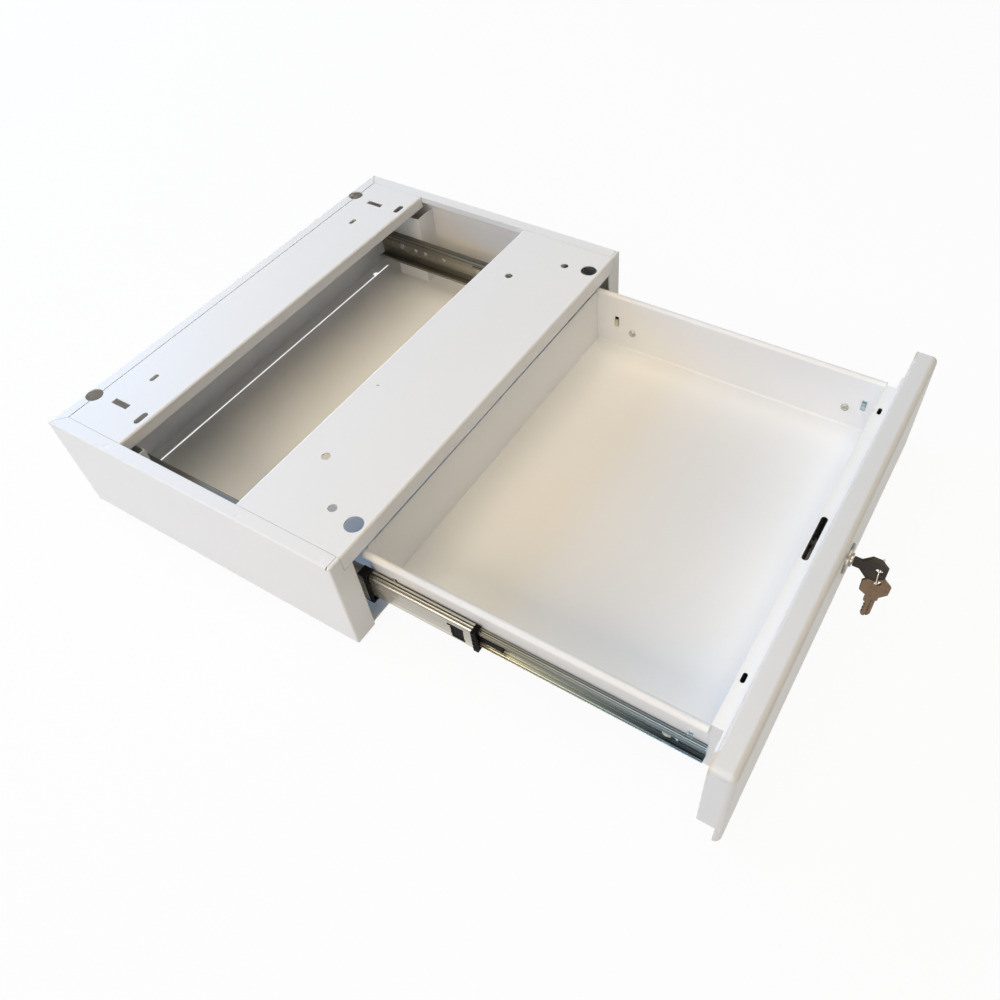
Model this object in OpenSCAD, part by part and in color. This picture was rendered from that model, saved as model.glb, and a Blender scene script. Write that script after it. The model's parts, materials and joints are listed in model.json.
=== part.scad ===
// Lockable steel drawer that hangs under a desk, shown fully open.
// Origin: middle of the front row of desk screws, on the face that touches the desk.
// +X is the user's right, -Y points at the user and +Z is up. Millimetres.

/* [Casing] */
// Width over the casing's sides
casing_w = 465; // [450:5:520]
// Depth from the front edge to the back
casing_d = 329; // [325:1:380]
// Height from the desk down to the bottom edge
casing_h = 108; // [102:1:125]
// Thickness of the casing's sheet steel
casing_t = 1.2; // [1:0.1:1.5]
// Outer radius of the casing's bends
bend_r = 2; // [1.5:0.1:2.4]
// Width of the top flange along each side
side_flange_w = 13; // [11:0.5:16]
// Width of the top flange along the back
rear_flange_w = 11.5; // [10:0.5:15]
// Width of the front return of each side
return_w = 22.5; // [20:0.5:23.5]
// Width of the flange that the back turns in at the bottom
rear_foot_w = 13; // [10:0.5:18]
// Open slit between that flange and the bottom panel
rear_slit = 4; // [2:0.5:8]

/* [Top plates] */
// Depth of the front plate
front_plate_d = 111; // [90:1:125]
// Depth of the opening between the two plates
opening_d = 138; // [110:1:145]
// Drop of the front plate's front flange
front_drop = 16; // [12:0.5:18]
// Drop of the flanges at the opening
opening_drop = 12; // [8:0.5:16]
// Gap between the rear plate and the rear flange
rear_seam = 0.9; // [0.4:0.1:1.5]
// Gap between the plates and the side flanges
side_seam = 0.2; // [0.1:0.05:0.4]

/* [Desk fixings] */
// Distance from the front edge back to the front screw row
screw_row = 38; // [32:1:50]
// Distance from the casing's side in to a front screw
screw_side = 49; // [44:0.5:60]
// Diameter of the desk screw holes
screw_hole_d = 8; // [6:0.5:9]
// Distance from the casing's side in to the middle of a rear slot
slot_side = 44.5; // [44.5:0.5:56]
// Distance from the opening back to the rear slots
slot_back = 8.5; // [7:0.5:14]
// Length of the rear slots
slot_l = 15; // [11:0.5:18]
// Width of the rear slots
slot_w = 6; // [5:0.5:7]

/* [Drawer] */
// Room between the casing's side and each slide
side_room = 28.5; // [27.5:0.1:34]
// Depth of the drawer below the desk face, to its top edge
drawer_top = 22.8; // [20:0.2:26]
// Height of the drawer's walls
drawer_wall_h = 64.4; // [58:0.2:68]
// Length of the tray from its front wall to its back
tray_l = 302.6; // [290:0.2:305]
// Thickness of the drawer's sheet steel
drawer_t = 1; // [0.8:0.1:1.2]
// Diameter of the rolled top edge
curl_d = 7; // [5:0.5:8]
// How far the drawer pulls out
travel = 310; // [280:1:312]

/* [Front panel] */
// Distance of the panel's ends in from the casing's sides
fascia_side = 3.5; // [-2:0.5:8]
// Height of the front panel
fascia_h = 112; // [100:1:118]
// Distance from the desk down to the panel's top
fascia_top = 3.5; // [2:0.1:5]
// Thickness of the panel over its folded edges
fascia_d = 19.8; // [17:0.2:22]
// Thickness of the panel's sheet steel
fascia_t = 1.2; // [1:0.1:1.5]
// Outer radius of the panel's side bends
fascia_side_r = 5.5; // [3:0.5:7]
// Outer radius of the panel's top bend
fascia_top_r = 5.5; // [3:0.5:7]
// Height of the panel's side returns
fascia_return_h = 88; // [70:1:92]
// Gap between the closed panel and the casing
fascia_gap = 1.2; // [1.2:0.1:3]
// Depth of the ledge between the tray and the panel
ledge_d = 12.6; // [12:0.2:15]

/* [Slides] */
// Length of the fixed slide members
slide_l = 305; // [290:1:308]
// Height of the fixed slide members
slide_h = 36; // [34:0.5:40]
// Thickness of a closed slide
slide_thick = 12.7; // [12.7:0.1:14]
// Thickness of the slides' steel
slide_t = 1.1; // [0.9:0.1:1.2]
// Depth of the slides' middle line below the desk
slide_z = 64; // [60:0.5:68]
// Length of the middle members
middle_l = 270; // [250:1:275]
// Length of the members on the drawer
inner_l = 286; // [282:1:296]
// Share of the drawer's travel that the middle members make
middle_share = 0.36; // [0.34:0.01:0.4]
// Balls in each row
ball_n = 5; // [3:1:6]

/* [Lock] */
// Distance from the middle to the lock's axis
lock_x = 3; // [0:0.5:6]
// Depth of the lock's axis below the desk
lock_z = 43; // [41:0.5:46]
// Diameter of the lock's rosette
rosette_d = 27; // [24:0.5:30]
// Diameter of the threaded barrel
barrel_d = 19; // [17:0.5:20]
// Diameter of the turning plug
plug_d = 12; // [11:0.5:13]
// Length of the cam from the axis to its tip
cam_l = 37; // [35:0.5:39]
// Width of the cam
cam_w = 13; // [11:0.5:14]
// Thickness of the cam
cam_t = 2; // [1.5:0.1:2.5]
// Length of the key's blade
key_l = 25; // [20:0.5:26]
// Thickness of the key's blade
key_t = 2; // [1.6:0.1:2.2]
// Height of the key's blade
key_h = 8; // [7:0.5:9]
// Height of the key's head
key_head_w = 26.2; // [24:0.2:27]
// Length of the key's head
key_head_l = 21.6; // [20:0.2:24]
// Mean radius of the key ring
ring_r = 10.6; // [10.6:0.1:12]

/* [Hidden] */
$fn = 64;
eps = 0.01;
cut = 1;

// Clearances
weld_gap = 0.3;      // between the bottom panel and the sides
turn_fit = 0.05;     // radial, round parts that turn in a bore
key_fit = 0.1;       // each side, key blade in the plug
ball_fit = 0.03;     // each side, balls between their tracks
slot_fit = 0.4;      // width of the narrow seams in the casing

front_y = -screw_row;
back_y = front_y + casing_d;
half_w = casing_w / 2;
inside_x = half_w - casing_t;
floor_z = -casing_h + 2 * casing_t;
plate_half = half_w - side_flange_w - side_seam;
opening_y0 = front_y + front_plate_d;
opening_y1 = opening_y0 + opening_d;
rear_plate_y1 = back_y - rear_flange_w - rear_seam;
side_lip = 6.5;
lug_w = 24;
lug_l = side_flange_w - casing_t - bend_r;

// Fixings in the top plates
inner_side = 90;     // from the casing's side in to the inner pair of front holes
inner_back = 31;     // from the opening forward to the inner pair
driver_d = 16.5;     // large access holes
driver_side = 44.5;
driver_front = 12;   // from the front edge back to the front access holes
driver_rear_d = 16;
driver_rear = 9.5;   // from the back forward to the rear access holes
small_slot_side = 88;
small_slot_l = 10;
small_slot_w = 4.5;
small_slot_back = 39;
hook_slot_w = 6.3;
hook_slot_l = 19;
hook_slot_back = 39.3;
hook_slot_side = 48.5;
pilot_d = 2.5;
pilot_x = -52;
pilot_front = 96;
drain_r = 4;

// Drawer, given as it lies when closed
tray_half = half_w - side_room - slide_thick;
tray_x = tray_half - drawer_t;
tray_y0 = front_y - fascia_gap + ledge_d;
tray_y1 = tray_y0 + tray_l;
tray_z1 = -drawer_top;
tray_z0 = tray_z1 - drawer_wall_h;
panel_y0 = front_y - fascia_gap - fascia_d;
panel_y1 = front_y - fascia_gap;
panel_z1 = -fascia_top;
panel_z0 = panel_z1 - fascia_h;
panel_half = half_w - fascia_side;
lip_half = panel_half - 15;
wall_slot_w = 4.6;
wall_slot_h = 13;
wall_slot_top = -48.5;
wall_slot_in = 13.4;
inner_start = 0.8;   // the members on the drawer start this far before the tray
hook_back = 6.8;     // from their back end forward to the rear hook
inner_y0 = tray_y0 - inner_start;
wall_slot_ys = [tray_y0 + wall_slot_in, inner_y0 + inner_l - hook_back];
relief_d = 2.4;

// Slides, measured out from the drawer's wall (u) and up from their middle line (v)
rail_x = tray_half;
rail_out = slide_h / 2;
track_out = rail_out - slide_t;
ball_out_d = 3.3;
middle_top = track_out - ball_out_d;
middle_track = middle_top - slide_t;
ball_in_d = 2.5;
inner_top = middle_track - ball_in_d;
outer_lip_u = 2.6;
outer_lip_h = 3.2;
middle_lip_u = 1.4;
outer_web_u = slide_thick - slide_t;
cage_t = 0.4;
cage_web_u = outer_web_u - 1.6;
middle_web_u = cage_web_u - 0.3 - slide_t;
rail_r = 0.9;            // inside radius of the slides' bends
clip_h = 0.9;
inner_cage_u = middle_web_u - 0.4 - cage_t;
inner_lip_u = inner_cage_u - 1;
ball_out_u = 6;
ball_in_u = 4;
ball_step = 11;
slide_y0 = front_y + 3;
middle_y0 = front_y + 9.5;
outer_cage_in = 62;      // places of the cages, from the front, when the drawer is closed
inner_cage_in = 108;
outer_cage_y = slide_y0 + outer_cage_in;
inner_cage_y = front_y + inner_cage_in;
bracket_x = rail_x + slide_thick;
bracket_t = 1.2;
bracket_l = 42;
bracket_top = -20;
bracket_foot = 12;
bracket_ear = 12;
bracket_in = 12;
bracket_back = 20;
front_bracket_y = front_y + bracket_in;
rear_bracket_y = slide_y0 + slide_l - bracket_back - bracket_l;
screw_d = 4;
screw_r = screw_d / 2;
head_d = 7.6;
nut_af = 7;
nut_h = 2.4;
drawer_screw_in = 30.4;
drawer_screw_back = 25.6;
drawer_screw_ys = [inner_y0 + drawer_screw_in, inner_y0 + inner_l - drawer_screw_back];
slide_screw_ys = [front_bracket_y + bracket_l / 2, rear_bracket_y + bracket_l * 0.75];
lever_back = 75;
lever_y = inner_y0 + inner_l - lever_back;
detent_back = 58;
detent_y = slide_y0 + slide_l - detent_back;
detent_l = 46;
detent_w = 16;
detent_t = 0.8;
lever_l = 42;
lever_w = 8;
lever_u = slide_t + 0.2;
lever_t = 3.6;
lever_pin_r = 1.7;

// Lock, on the drawer's middle line
rosette_h = 2.8;
plug_proud = 1.6;
plate_hole_flat = 0.84;
cam_y = tray_y0 - 5.1;
barrel_y1 = cam_y - cam_t / 2 - 0.8;
plug_y0 = panel_y0 - rosette_h - plug_proud;
plug_y1 = cam_y - cam_t / 2;
nut_t = 4;
nut_across = barrel_d + 5;
cam_slot_w = cam_t + 3.5;
cam_slot_left = 34;
cam_slot_right = 15;
ledge_slot_in = 39.8;
ledge_slot_out = tray_half - ledge_slot_in;
ledge_slot_l = 9;
ledge_slot_shift = 3.8;
cam_head_d = 8;
cam_head_h = 2.2;
cam_hub = 6;
keyway_l = key_l + 1.5;
neck_l = 6.6;
neck_w = 10;
head_t = 3.4;
head_y1 = plug_y0 - neck_l;
head_y0 = head_y1 - key_head_l;
head_chamfer = 7;
key_hole_r = 3.2;
key_hole_y = head_y0 + 6.6;
wire_r = 0.6;
ring_tilt = 6;      // the ring leans towards the user
ring_side = 36;      // and hangs to the right of the key in the lock
ring_lift = 0.4;
ring_lean = [0, -sin(ring_tilt), -cos(ring_tilt)];
ring_centre = [lock_x + ring_r * sin(ring_side), key_hole_y, -lock_z]
    + (ring_r * cos(ring_side) - ring_lift) * ring_lean;
spare_turn = 28;
spare_side = 10;
spare_drop = key_hole_r - wire_r - 0.4;
spare_seat = ring_centre + ring_r * cos(spare_side) * ring_lean - [ring_r * sin(spare_side), 0, 0];
spare_at = spare_seat - [0, 0, spare_drop];
spare_t = 2;
spare_l = 22.5 + key_l;
middle_shift = travel * middle_share;
outer_cage_shift = middle_shift / 2;
inner_cage_shift = (travel + middle_shift) / 2;

white = "#e9e9ea";
warm_white = "#e4e0d8";
zinc = "#b9bcbf";
black = "#1c1c1d";
nickel = "#c9c8c4";
brass = "#9a7a4a";

module block(from, to) {
    translate(from) cube(to - from);
}

// Copies a right-hand part to the left
module left() {
    mirror([1, 0, 0]) children();
}

module both() {
    children();
    left() children();
}

// Material to cut off a square edge so that it turns with radius r.
// The edge lies on the axis and the material lies towards +u and +v.
module corner(r) {
    difference() {
        translate([-eps, -eps]) square(r + eps);
        translate([r, r]) circle(r);
    }
}

module edge_along_z(r, at, len, turn) {
    translate(at) rotate([0, 0, turn]) linear_extrude(len) corner(r);
}

module edge_along_y(r, at, len, turn) {
    translate(at) rotate([-90, 0, 0]) rotate([0, 0, turn]) linear_extrude(len) corner(r);
}

module edge_along_x(r, at, len, turn) {
    translate(at) rotate([90, 0, 90]) rotate([0, 0, turn]) linear_extrude(len) corner(r);
}

// Vertical hole through a plate whose top is at the desk face
module top_hole(d, x, y) {
    translate([x, y, -casing_t - cut]) cylinder(d = d, h = casing_t + 2 * cut);
}

// Slot through a top plate, long along X
module top_slot(l, w, x, y) {
    for (s = [-1, 1]) top_hole(w, x + s * (l - w) / 2, y);
    translate([x - (l - w) / 2, y - w / 2, -casing_t - cut]) cube([l - w, w, casing_t + 2 * cut]);
}

module hex_prism(af, h) {
    cylinder(d = af / cos(30), h = h, $fn = 6);
}

module casing_side() {
    difference() {
        union() {
            block([inside_x, front_y, -casing_h], [half_w, back_y, 0]);
            block([half_w - side_flange_w, front_y, -casing_t], [half_w, back_y, 0]);
            block([half_w - side_flange_w, opening_y0 + side_seam, -side_lip],
                [half_w - side_flange_w + casing_t, opening_y1 - side_seam, 0]);
            block([half_w - return_w, front_y, -casing_h], [half_w, back_y - casing_t, -casing_h + casing_t]);
            block([half_w - return_w, front_y, -casing_h], [half_w, front_y + casing_t, 0]);
        }
        // The front plate's flange fills the top inner corner of the return
        block([half_w - return_w - cut, front_y - cut, -front_drop - slot_fit],
            [half_w - side_flange_w + side_seam, front_y + casing_t + eps, cut]);
        // Slit where the top flange ends behind the front return
        block([half_w - side_flange_w - cut, front_y + 3.2, -casing_t - cut],
            [half_w - bend_r, front_y + 3.2 + slot_fit, cut]);
        block([half_w - bend_r - eps, front_y + 2.8, -3], [half_w + cut, front_y + 4, cut]);
        edge_along_y(bend_r, [half_w, front_y, 0], casing_d, 90);
        edge_along_z(bend_r, [half_w, front_y, -casing_h], casing_h, 90);
        edge_along_x(bend_r, [half_w - return_w, front_y, 0], return_w, -90);
        edge_along_y(bend_r, [half_w, front_y, -casing_h], casing_d, 180);
    }
}

module casing_shell() {
    color(white) difference() {
        union() {
            both() casing_side();
            difference() {
                union() {
                    block([-half_w + eps, back_y - casing_t, -casing_h], [half_w - eps, back_y, 0]);
                    block([-inside_x, back_y - rear_flange_w, -casing_t], [inside_x, back_y, 0]);
                    block([-inside_x, back_y - rear_foot_w, -casing_h],
                        [inside_x, back_y, -casing_h + casing_t]);
                }
                both() translate([half_w - driver_side, back_y - rear_foot_w, -casing_h - cut])
                    cylinder(r = drain_r, h = casing_t + 2 * cut);
            }
        }
        edge_along_x(bend_r, [-half_w, back_y, 0], casing_w, 180);
        edge_along_x(bend_r, [-half_w, back_y, -casing_h], casing_w, 90);
        // Mitre between the side and rear flanges
        both() hull() {
            translate([half_w - bend_r, back_y - bend_r, -casing_t - cut])
                cylinder(d = slot_fit, h = 2 * cut + casing_t, $fn = 8);
            translate([half_w - side_flange_w, back_y - rear_flange_w, -casing_t - cut])
                cylinder(d = slot_fit, h = 2 * cut + casing_t, $fn = 8);
        }
        both() top_hole(driver_rear_d, half_w - driver_side, back_y - driver_rear);
    }
}

// Tab under a side flange that carries a top plate
module plate_lug(y) {
    block([plate_half - 14, y - lug_w / 2, -2 * casing_t], [plate_half + lug_l, y + lug_w / 2, -casing_t]);
}

module rear_top_plate() {
    color(white) difference() {
        union() {
            block([-plate_half, opening_y1, -casing_t], [plate_half, rear_plate_y1, 0]);
            block([-plate_half, opening_y1, -opening_drop], [plate_half, opening_y1 + casing_t, 0]);
            both() plate_lug((opening_y1 + rear_plate_y1) / 2 - 6);
        }
        edge_along_x(bend_r, [-plate_half - cut, opening_y1, 0], 2 * (plate_half + cut), -90);
        both() {
            top_hole(driver_rear_d, half_w - driver_side, back_y - driver_rear);
            top_slot(slot_l, slot_w, half_w - slot_side, opening_y1 + slot_back);
            top_slot(small_slot_l, small_slot_w, half_w - small_slot_side, opening_y1 + small_slot_back);
            translate([half_w - hook_slot_side - hook_slot_w / 2,
                opening_y1 + hook_slot_back - hook_slot_l / 2, -3 * casing_t])
                cube([hook_slot_w, hook_slot_l, 4 * casing_t]);
        }
    }
}

// Flat part of the front plate, between the bends of its two flanges
module front_top_plate() {
    color(white) difference() {
        union() {
            block([-plate_half, front_y + bend_r, -casing_t], [plate_half, opening_y0 - bend_r, 0]);
            both() plate_lug((front_y + opening_y0) / 2);
        }
        both() {
            top_hole(screw_hole_d, half_w - screw_side, 0);
            top_hole(screw_hole_d, half_w - inner_side, opening_y0 - inner_back);
            top_hole(driver_d, half_w - driver_side, front_y + driver_front);
        }
        top_hole(pilot_d, pilot_x, front_y + pilot_front);
    }
}

// Front flange of that plate, with its bend
module front_plate_flange() {
    color(white) difference() {
        union() {
            block([-plate_half, front_y, -casing_t], [plate_half, front_y + bend_r, 0]);
            block([-plate_half, front_y, -front_drop], [plate_half, front_y + casing_t, 0]);
        }
        edge_along_x(bend_r, [-plate_half - cut, front_y, 0], 2 * (plate_half + cut), -90);
    }
}

// Its flange at the opening, with its bend
module opening_flange() {
    color(white) difference() {
        union() {
            block([-plate_half, opening_y0 - bend_r, -casing_t], [plate_half, opening_y0, 0]);
            block([-plate_half, opening_y0 - casing_t, -opening_drop], [plate_half, opening_y0, 0]);
        }
        edge_along_x(bend_r, [-plate_half - cut, opening_y0, 0], 2 * (plate_half + cut), 180);
    }
}

module bottom_panel() {
    color(warm_white) block([-inside_x + weld_gap, front_y + casing_t + weld_gap, -casing_h + casing_t],
        [inside_x - weld_gap, back_y - rear_foot_w - rear_slit, floor_z]);
}

// Folded bracket that carries a slide off the bottom panel and the casing's side
module bracket(y) {
    color(warm_white) difference() {
        union() {
            block([bracket_x, y, floor_z], [bracket_x + bracket_t, y + bracket_l, bracket_top]);
            block([bracket_x, y, floor_z], [inside_x, y + bracket_t, bracket_top]);
            block([bracket_x, y + bracket_l - bracket_t, floor_z], [inside_x, y + bracket_l, bracket_top]);
            block([bracket_x, y, floor_z], [bracket_x + bracket_foot, y + bracket_l, floor_z + bracket_t]);
            block([inside_x - bracket_t, y, floor_z], [inside_x, y + bracket_ear, bracket_top]);
            block([inside_x - bracket_t, y + bracket_l - bracket_ear, floor_z],
                [inside_x, y + bracket_l, bracket_top]);
        }
        for (sy = slide_screw_ys) translate([bracket_x - cut, sy, -slide_z]) rotate([0, 90, 0])
            cylinder(r = screw_r, h = bracket_t + 2 * cut);
    }
}

// Puts a profile drawn in (u, v) on the right-hand slide, running back from y
module on_rail(y, len) {
    translate([rail_x, y + len, -slide_z]) rotate([90, 0, 0]) linear_extrude(len) children();
}

module up_and_down() {
    children();
    mirror([0, 1]) children();
}

// Rectangle from u0 to u1, of half height v, with round corners
module round_box(u0, u1, v, r) {
    difference() {
        translate([u0, -v]) square([u1 - u0, 2 * v]);
        up_and_down() {
            translate([u1, v]) rotate(180) corner(r);
            translate([u0, v]) rotate(-90) corner(r);
        }
    }
}

module outer_profile() {
    difference() {
        round_box(outer_lip_u, slide_thick, rail_out, rail_r + slide_t);
        round_box(outer_lip_u + slide_t, outer_web_u, track_out, rail_r);
        translate([0, outer_lip_h - rail_out]) square([outer_lip_u + 2 * slide_t, slide_h - 2 * outer_lip_h]);
    }
}

module outer_slide() {
    color(zinc) difference() {
        union() {
            on_rail(slide_y0, slide_l) outer_profile();
            // Stamped detent plate on the rear of the web
            block([rail_x + outer_web_u - detent_t, detent_y - detent_l / 2, -slide_z - detent_w / 2],
                [rail_x + outer_web_u + eps, detent_y + detent_l / 2, -slide_z + detent_w / 2]);
        }
        for (sy = slide_screw_ys) translate([rail_x + outer_web_u - cut, sy, -slide_z]) rotate([0, 90, 0])
            cylinder(r = screw_r, h = slide_t + 2 * cut);
        for (k = [0.23, 0.5, 0.7]) translate([rail_x + outer_web_u - cut, slide_y0 + k * slide_l, -slide_z])
            rotate([0, 90, 0]) cylinder(d = 5.5, h = slide_t + 2 * cut);
        // Openings of the detent plate
        for (s = [-1, 1]) translate([rail_x + outer_web_u - 2, detent_y + s * 7 - 2.6, -slide_z - 2.6])
            cube([slide_t + 4, 5.2, 5.2]);
    }
}

// Plastic buffer round the front end of a fixed member
module outer_buffer() {
    color(black) {
        on_rail(slide_y0 - 4, 4) difference() {
            translate([outer_lip_u, -rail_out - 1.2]) square([slide_thick - outer_lip_u, slide_h + 2.4]);
            translate([-cut, -track_out]) square([outer_web_u + cut, 2 * track_out]);
        }
        for (s = [-1, 1]) translate([0, 0, s * (rail_out + 0.6)])
            block([rail_x + outer_lip_u, slide_y0 - eps, -slide_z - 0.6],
                [rail_x + slide_thick, slide_y0 + 5, -slide_z + 0.6]);
    }
}

module slide_screw(y) {
    translate([rail_x + outer_web_u - 0.9, y, -slide_z]) rotate([0, 90, 0]) {
        cylinder(d = head_d, h = 0.9);
        cylinder(r = screw_r, h = 0.9 + slide_t + bracket_t + nut_h + 1);
    }
    translate([bracket_x + bracket_t, y, -slide_z]) rotate([0, 90, 0]) hex_prism(nut_af, nut_h);
}

module slide_screws() {
    color(zinc) both() for (sy = slide_screw_ys) slide_screw(sy);
}

// Retainer with its two rows of balls
module ball_cage(y, ball_d, ball_u, ball_v, web_u, lip_u) {
    len = (ball_n + 1) * ball_step;
    color(zinc) {
        difference() {
            on_rail(y, len) {
                translate([web_u, -ball_v - cage_t / 2]) square([cage_t, 2 * ball_v + cage_t]);
                up_and_down() translate([lip_u, ball_v - cage_t / 2]) square([web_u - lip_u + eps, cage_t]);
            }
            for (i = [1:ball_n], s = [-1, 1])
                translate([rail_x + ball_u, y + i * ball_step, -slide_z + s * ball_v - 2])
                    cylinder(d = ball_d + 2 * turn_fit, h = 4);
        }
        for (i = [1:ball_n], s = [-1, 1])
            translate([rail_x + ball_u, y + i * ball_step, -slide_z + s * ball_v]) sphere(d = ball_d);
    }
}

module outer_ball_cage() {
    translate([0, -outer_cage_shift, 0]) ball_cage(outer_cage_y, ball_out_d - 2 * ball_fit, ball_out_u,
        (track_out + middle_top) / 2, cage_web_u, ball_out_u - 2.2);
}

module inner_ball_cage() {
    translate([0, -inner_cage_shift, 0]) ball_cage(inner_cage_y, ball_in_d - 2 * ball_fit, ball_in_u,
        (middle_track + inner_top) / 2, inner_cage_u, ball_in_u - 1.8);
}

module middle_profile() {
    difference() {
        round_box(middle_lip_u - 2 * slide_t, middle_web_u + slide_t, middle_top, rail_r + slide_t);
        round_box(middle_lip_u - 2 * slide_t, middle_web_u, middle_track, rail_r);
        translate([middle_lip_u - 3 * slide_t, -slide_h]) square([3 * slide_t, 2 * slide_h]);
    }
}

module middle_slide() {
    color(zinc) translate([0, -middle_shift, 0]) difference() {
        on_rail(middle_y0, middle_l) middle_profile();
        // Window that shows the release lever
        translate([rail_x + middle_web_u - cut, middle_y0 + 12, -slide_z - 10]) cube([slide_t + 2 * cut, 10, 18]);
        for (k = [1 / 3, 7 / 9]) translate([rail_x + middle_web_u - cut, middle_y0 + k * middle_l, -slide_z])
            rotate([0, 90, 0]) cylinder(d = 7, h = slide_t + 2 * cut);
    }
}

// Plastic end stop on the front of a middle member
module middle_clip() {
    clip_out = middle_top + clip_h;
    color(black) translate([0, -middle_shift, 0]) {
        on_rail(middle_y0 - 4.4, 4.4) difference() {
            translate([middle_lip_u, -clip_out]) square([middle_web_u + slide_t - middle_lip_u, 2 * clip_out]);
            translate([-cut, -middle_track]) square([middle_web_u + cut, 2 * middle_track]);
        }
        for (s = [-1, 1]) translate([0, 0, s * (middle_track - 5)])
            block([rail_x + middle_web_u - 0.3, middle_y0 - 1, -slide_z - 2],
                [rail_x + middle_web_u, middle_y0 + 6, -slide_z + 2]);
    }
}

module inner_profile() {
    difference() {
        round_box(0, inner_lip_u + 2 * slide_t, inner_top, rail_r + slide_t);
        round_box(slide_t, inner_lip_u + 3 * slide_t, inner_top - slide_t, rail_r);
        translate([inner_lip_u, -slide_h]) square([3 * slide_t, 2 * slide_h]);
    }
}

module inner_slide() {
    color(zinc) translate([0, -travel, 0]) {
        difference() {
            on_rail(inner_y0, inner_l) inner_profile();
            for (sy = drawer_screw_ys) translate([rail_x - cut, sy, -slide_z]) rotate([0, 90, 0])
                cylinder(r = screw_r, h = slide_t + 2 * cut);
            for (k = [0.21, 0.385]) translate([rail_x - cut, inner_y0 + k * inner_l, -slide_z])
                rotate([0, 90, 0]) cylinder(d = 4.5, h = slide_t + 2 * cut);
        }
        // Hooks that sit in the slots of the drawer's wall
        for (sy = wall_slot_ys) {
            block([tray_x - 1.3, sy - 1.6, -slide_z + 5], [rail_x + slide_t, sy + 1.6, -slide_z + 8.5]);
            block([tray_x - 1.3, sy - 1.6, -slide_z + 5], [tray_x - 0.3, sy + 1.6, -slide_z + 12]);
        }
        // Pin of the release lever, with its head
        translate([rail_x + slide_t - eps, lever_y, -slide_z]) rotate([0, 90, 0]) {
            cylinder(r = lever_pin_r, h = lever_t + 0.8);
            translate([0, 0, lever_t + 0.4]) cylinder(r = lever_pin_r + 0.9, h = 0.5);
        }
    }
}

module release_lever() {
    color(black) translate([rail_x + lever_u, lever_y - travel, -slide_z]) difference() {
        union() {
            translate([0, -lever_l + 9, -lever_w / 2]) cube([lever_t, lever_l - 12, lever_w]);
            rotate([0, 90, 0]) cylinder(d = lever_w, h = lever_t);
            translate([0, -lever_l + 3, -lever_w / 2 - 1]) cube([lever_t, 7, lever_w]);
        }
        translate([-cut, 0, 0]) rotate([0, 90, 0])
            cylinder(r = lever_pin_r + turn_fit, h = lever_t + 2 * cut);
    }
}

// Wall, floor corner and rolled top edge of one side of the tray, in (x, z)
module tray_side_profile() {
    inner_r = 2;
    translate([tray_x, tray_z0]) square([drawer_t, drawer_wall_h - curl_d / 2]);
    translate([tray_x - 2 * inner_r, tray_z0]) square([2 * inner_r + eps, drawer_t]);
    translate([tray_x, tray_z0 + drawer_t]) mirror([1, 0]) difference() {
        translate([-eps, -eps]) square(inner_r + eps);
        translate([inner_r, inner_r]) circle(inner_r);
    }
    translate([tray_x + curl_d / 2, tray_z1 - curl_d / 2]) difference() {
        circle(curl_d / 2);
        circle(curl_d / 2 - drawer_t);
        translate([-curl_d / 2 + drawer_t, -curl_d]) square([curl_d / 2 - drawer_t, curl_d]);
    }
}

module drawer_tray() {
    color(white) translate([0, -travel, 0]) difference() {
        union() {
            block([-tray_x + eps, tray_y0, tray_z0], [tray_x - eps, tray_y1, tray_z0 + drawer_t]);
            block([-tray_x + eps, tray_y1 - drawer_t, tray_z0], [tray_x - eps, tray_y1, tray_z1]);
            both() translate([0, tray_y1, 0]) rotate([90, 0, 0]) linear_extrude(tray_l)
                tray_side_profile();
        }
        both() {
            // Corner relief, top notch, hook slots and screw holes
            translate([tray_x - 0.6, tray_y1 - 2 * cut, tray_z0 + drawer_t + 2.6]) rotate([-90, 0, 0])
                cylinder(d = relief_d, h = 4 * cut);
            block([tray_x - 1.6, tray_y1 - 3, tray_z1 - 2.2], [tray_x + eps, tray_y1 + cut, tray_z1 + cut]);
            for (sy = wall_slot_ys)
                block([tray_x - cut, sy - wall_slot_w / 2, wall_slot_top - wall_slot_h],
                    [tray_half + cut, sy + wall_slot_w / 2, wall_slot_top]);
            for (sy = drawer_screw_ys) translate([tray_x - cut, sy, -slide_z]) rotate([0, 90, 0])
                cylinder(r = screw_r, h = drawer_t + 2 * cut);
        }
    }
}

module ledge_slot(x0, x1, w) {
    for (x = [x0 + w / 2, x1 - w / 2]) translate([x, cam_y, tray_z1 - 2 * drawer_t])
        cylinder(d = w, h = 4 * drawer_t);
    translate([x0 + w / 2, cam_y - w / 2, tray_z1 - 2 * drawer_t]) cube([x1 - x0 - w, w, 4 * drawer_t]);
}

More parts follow.
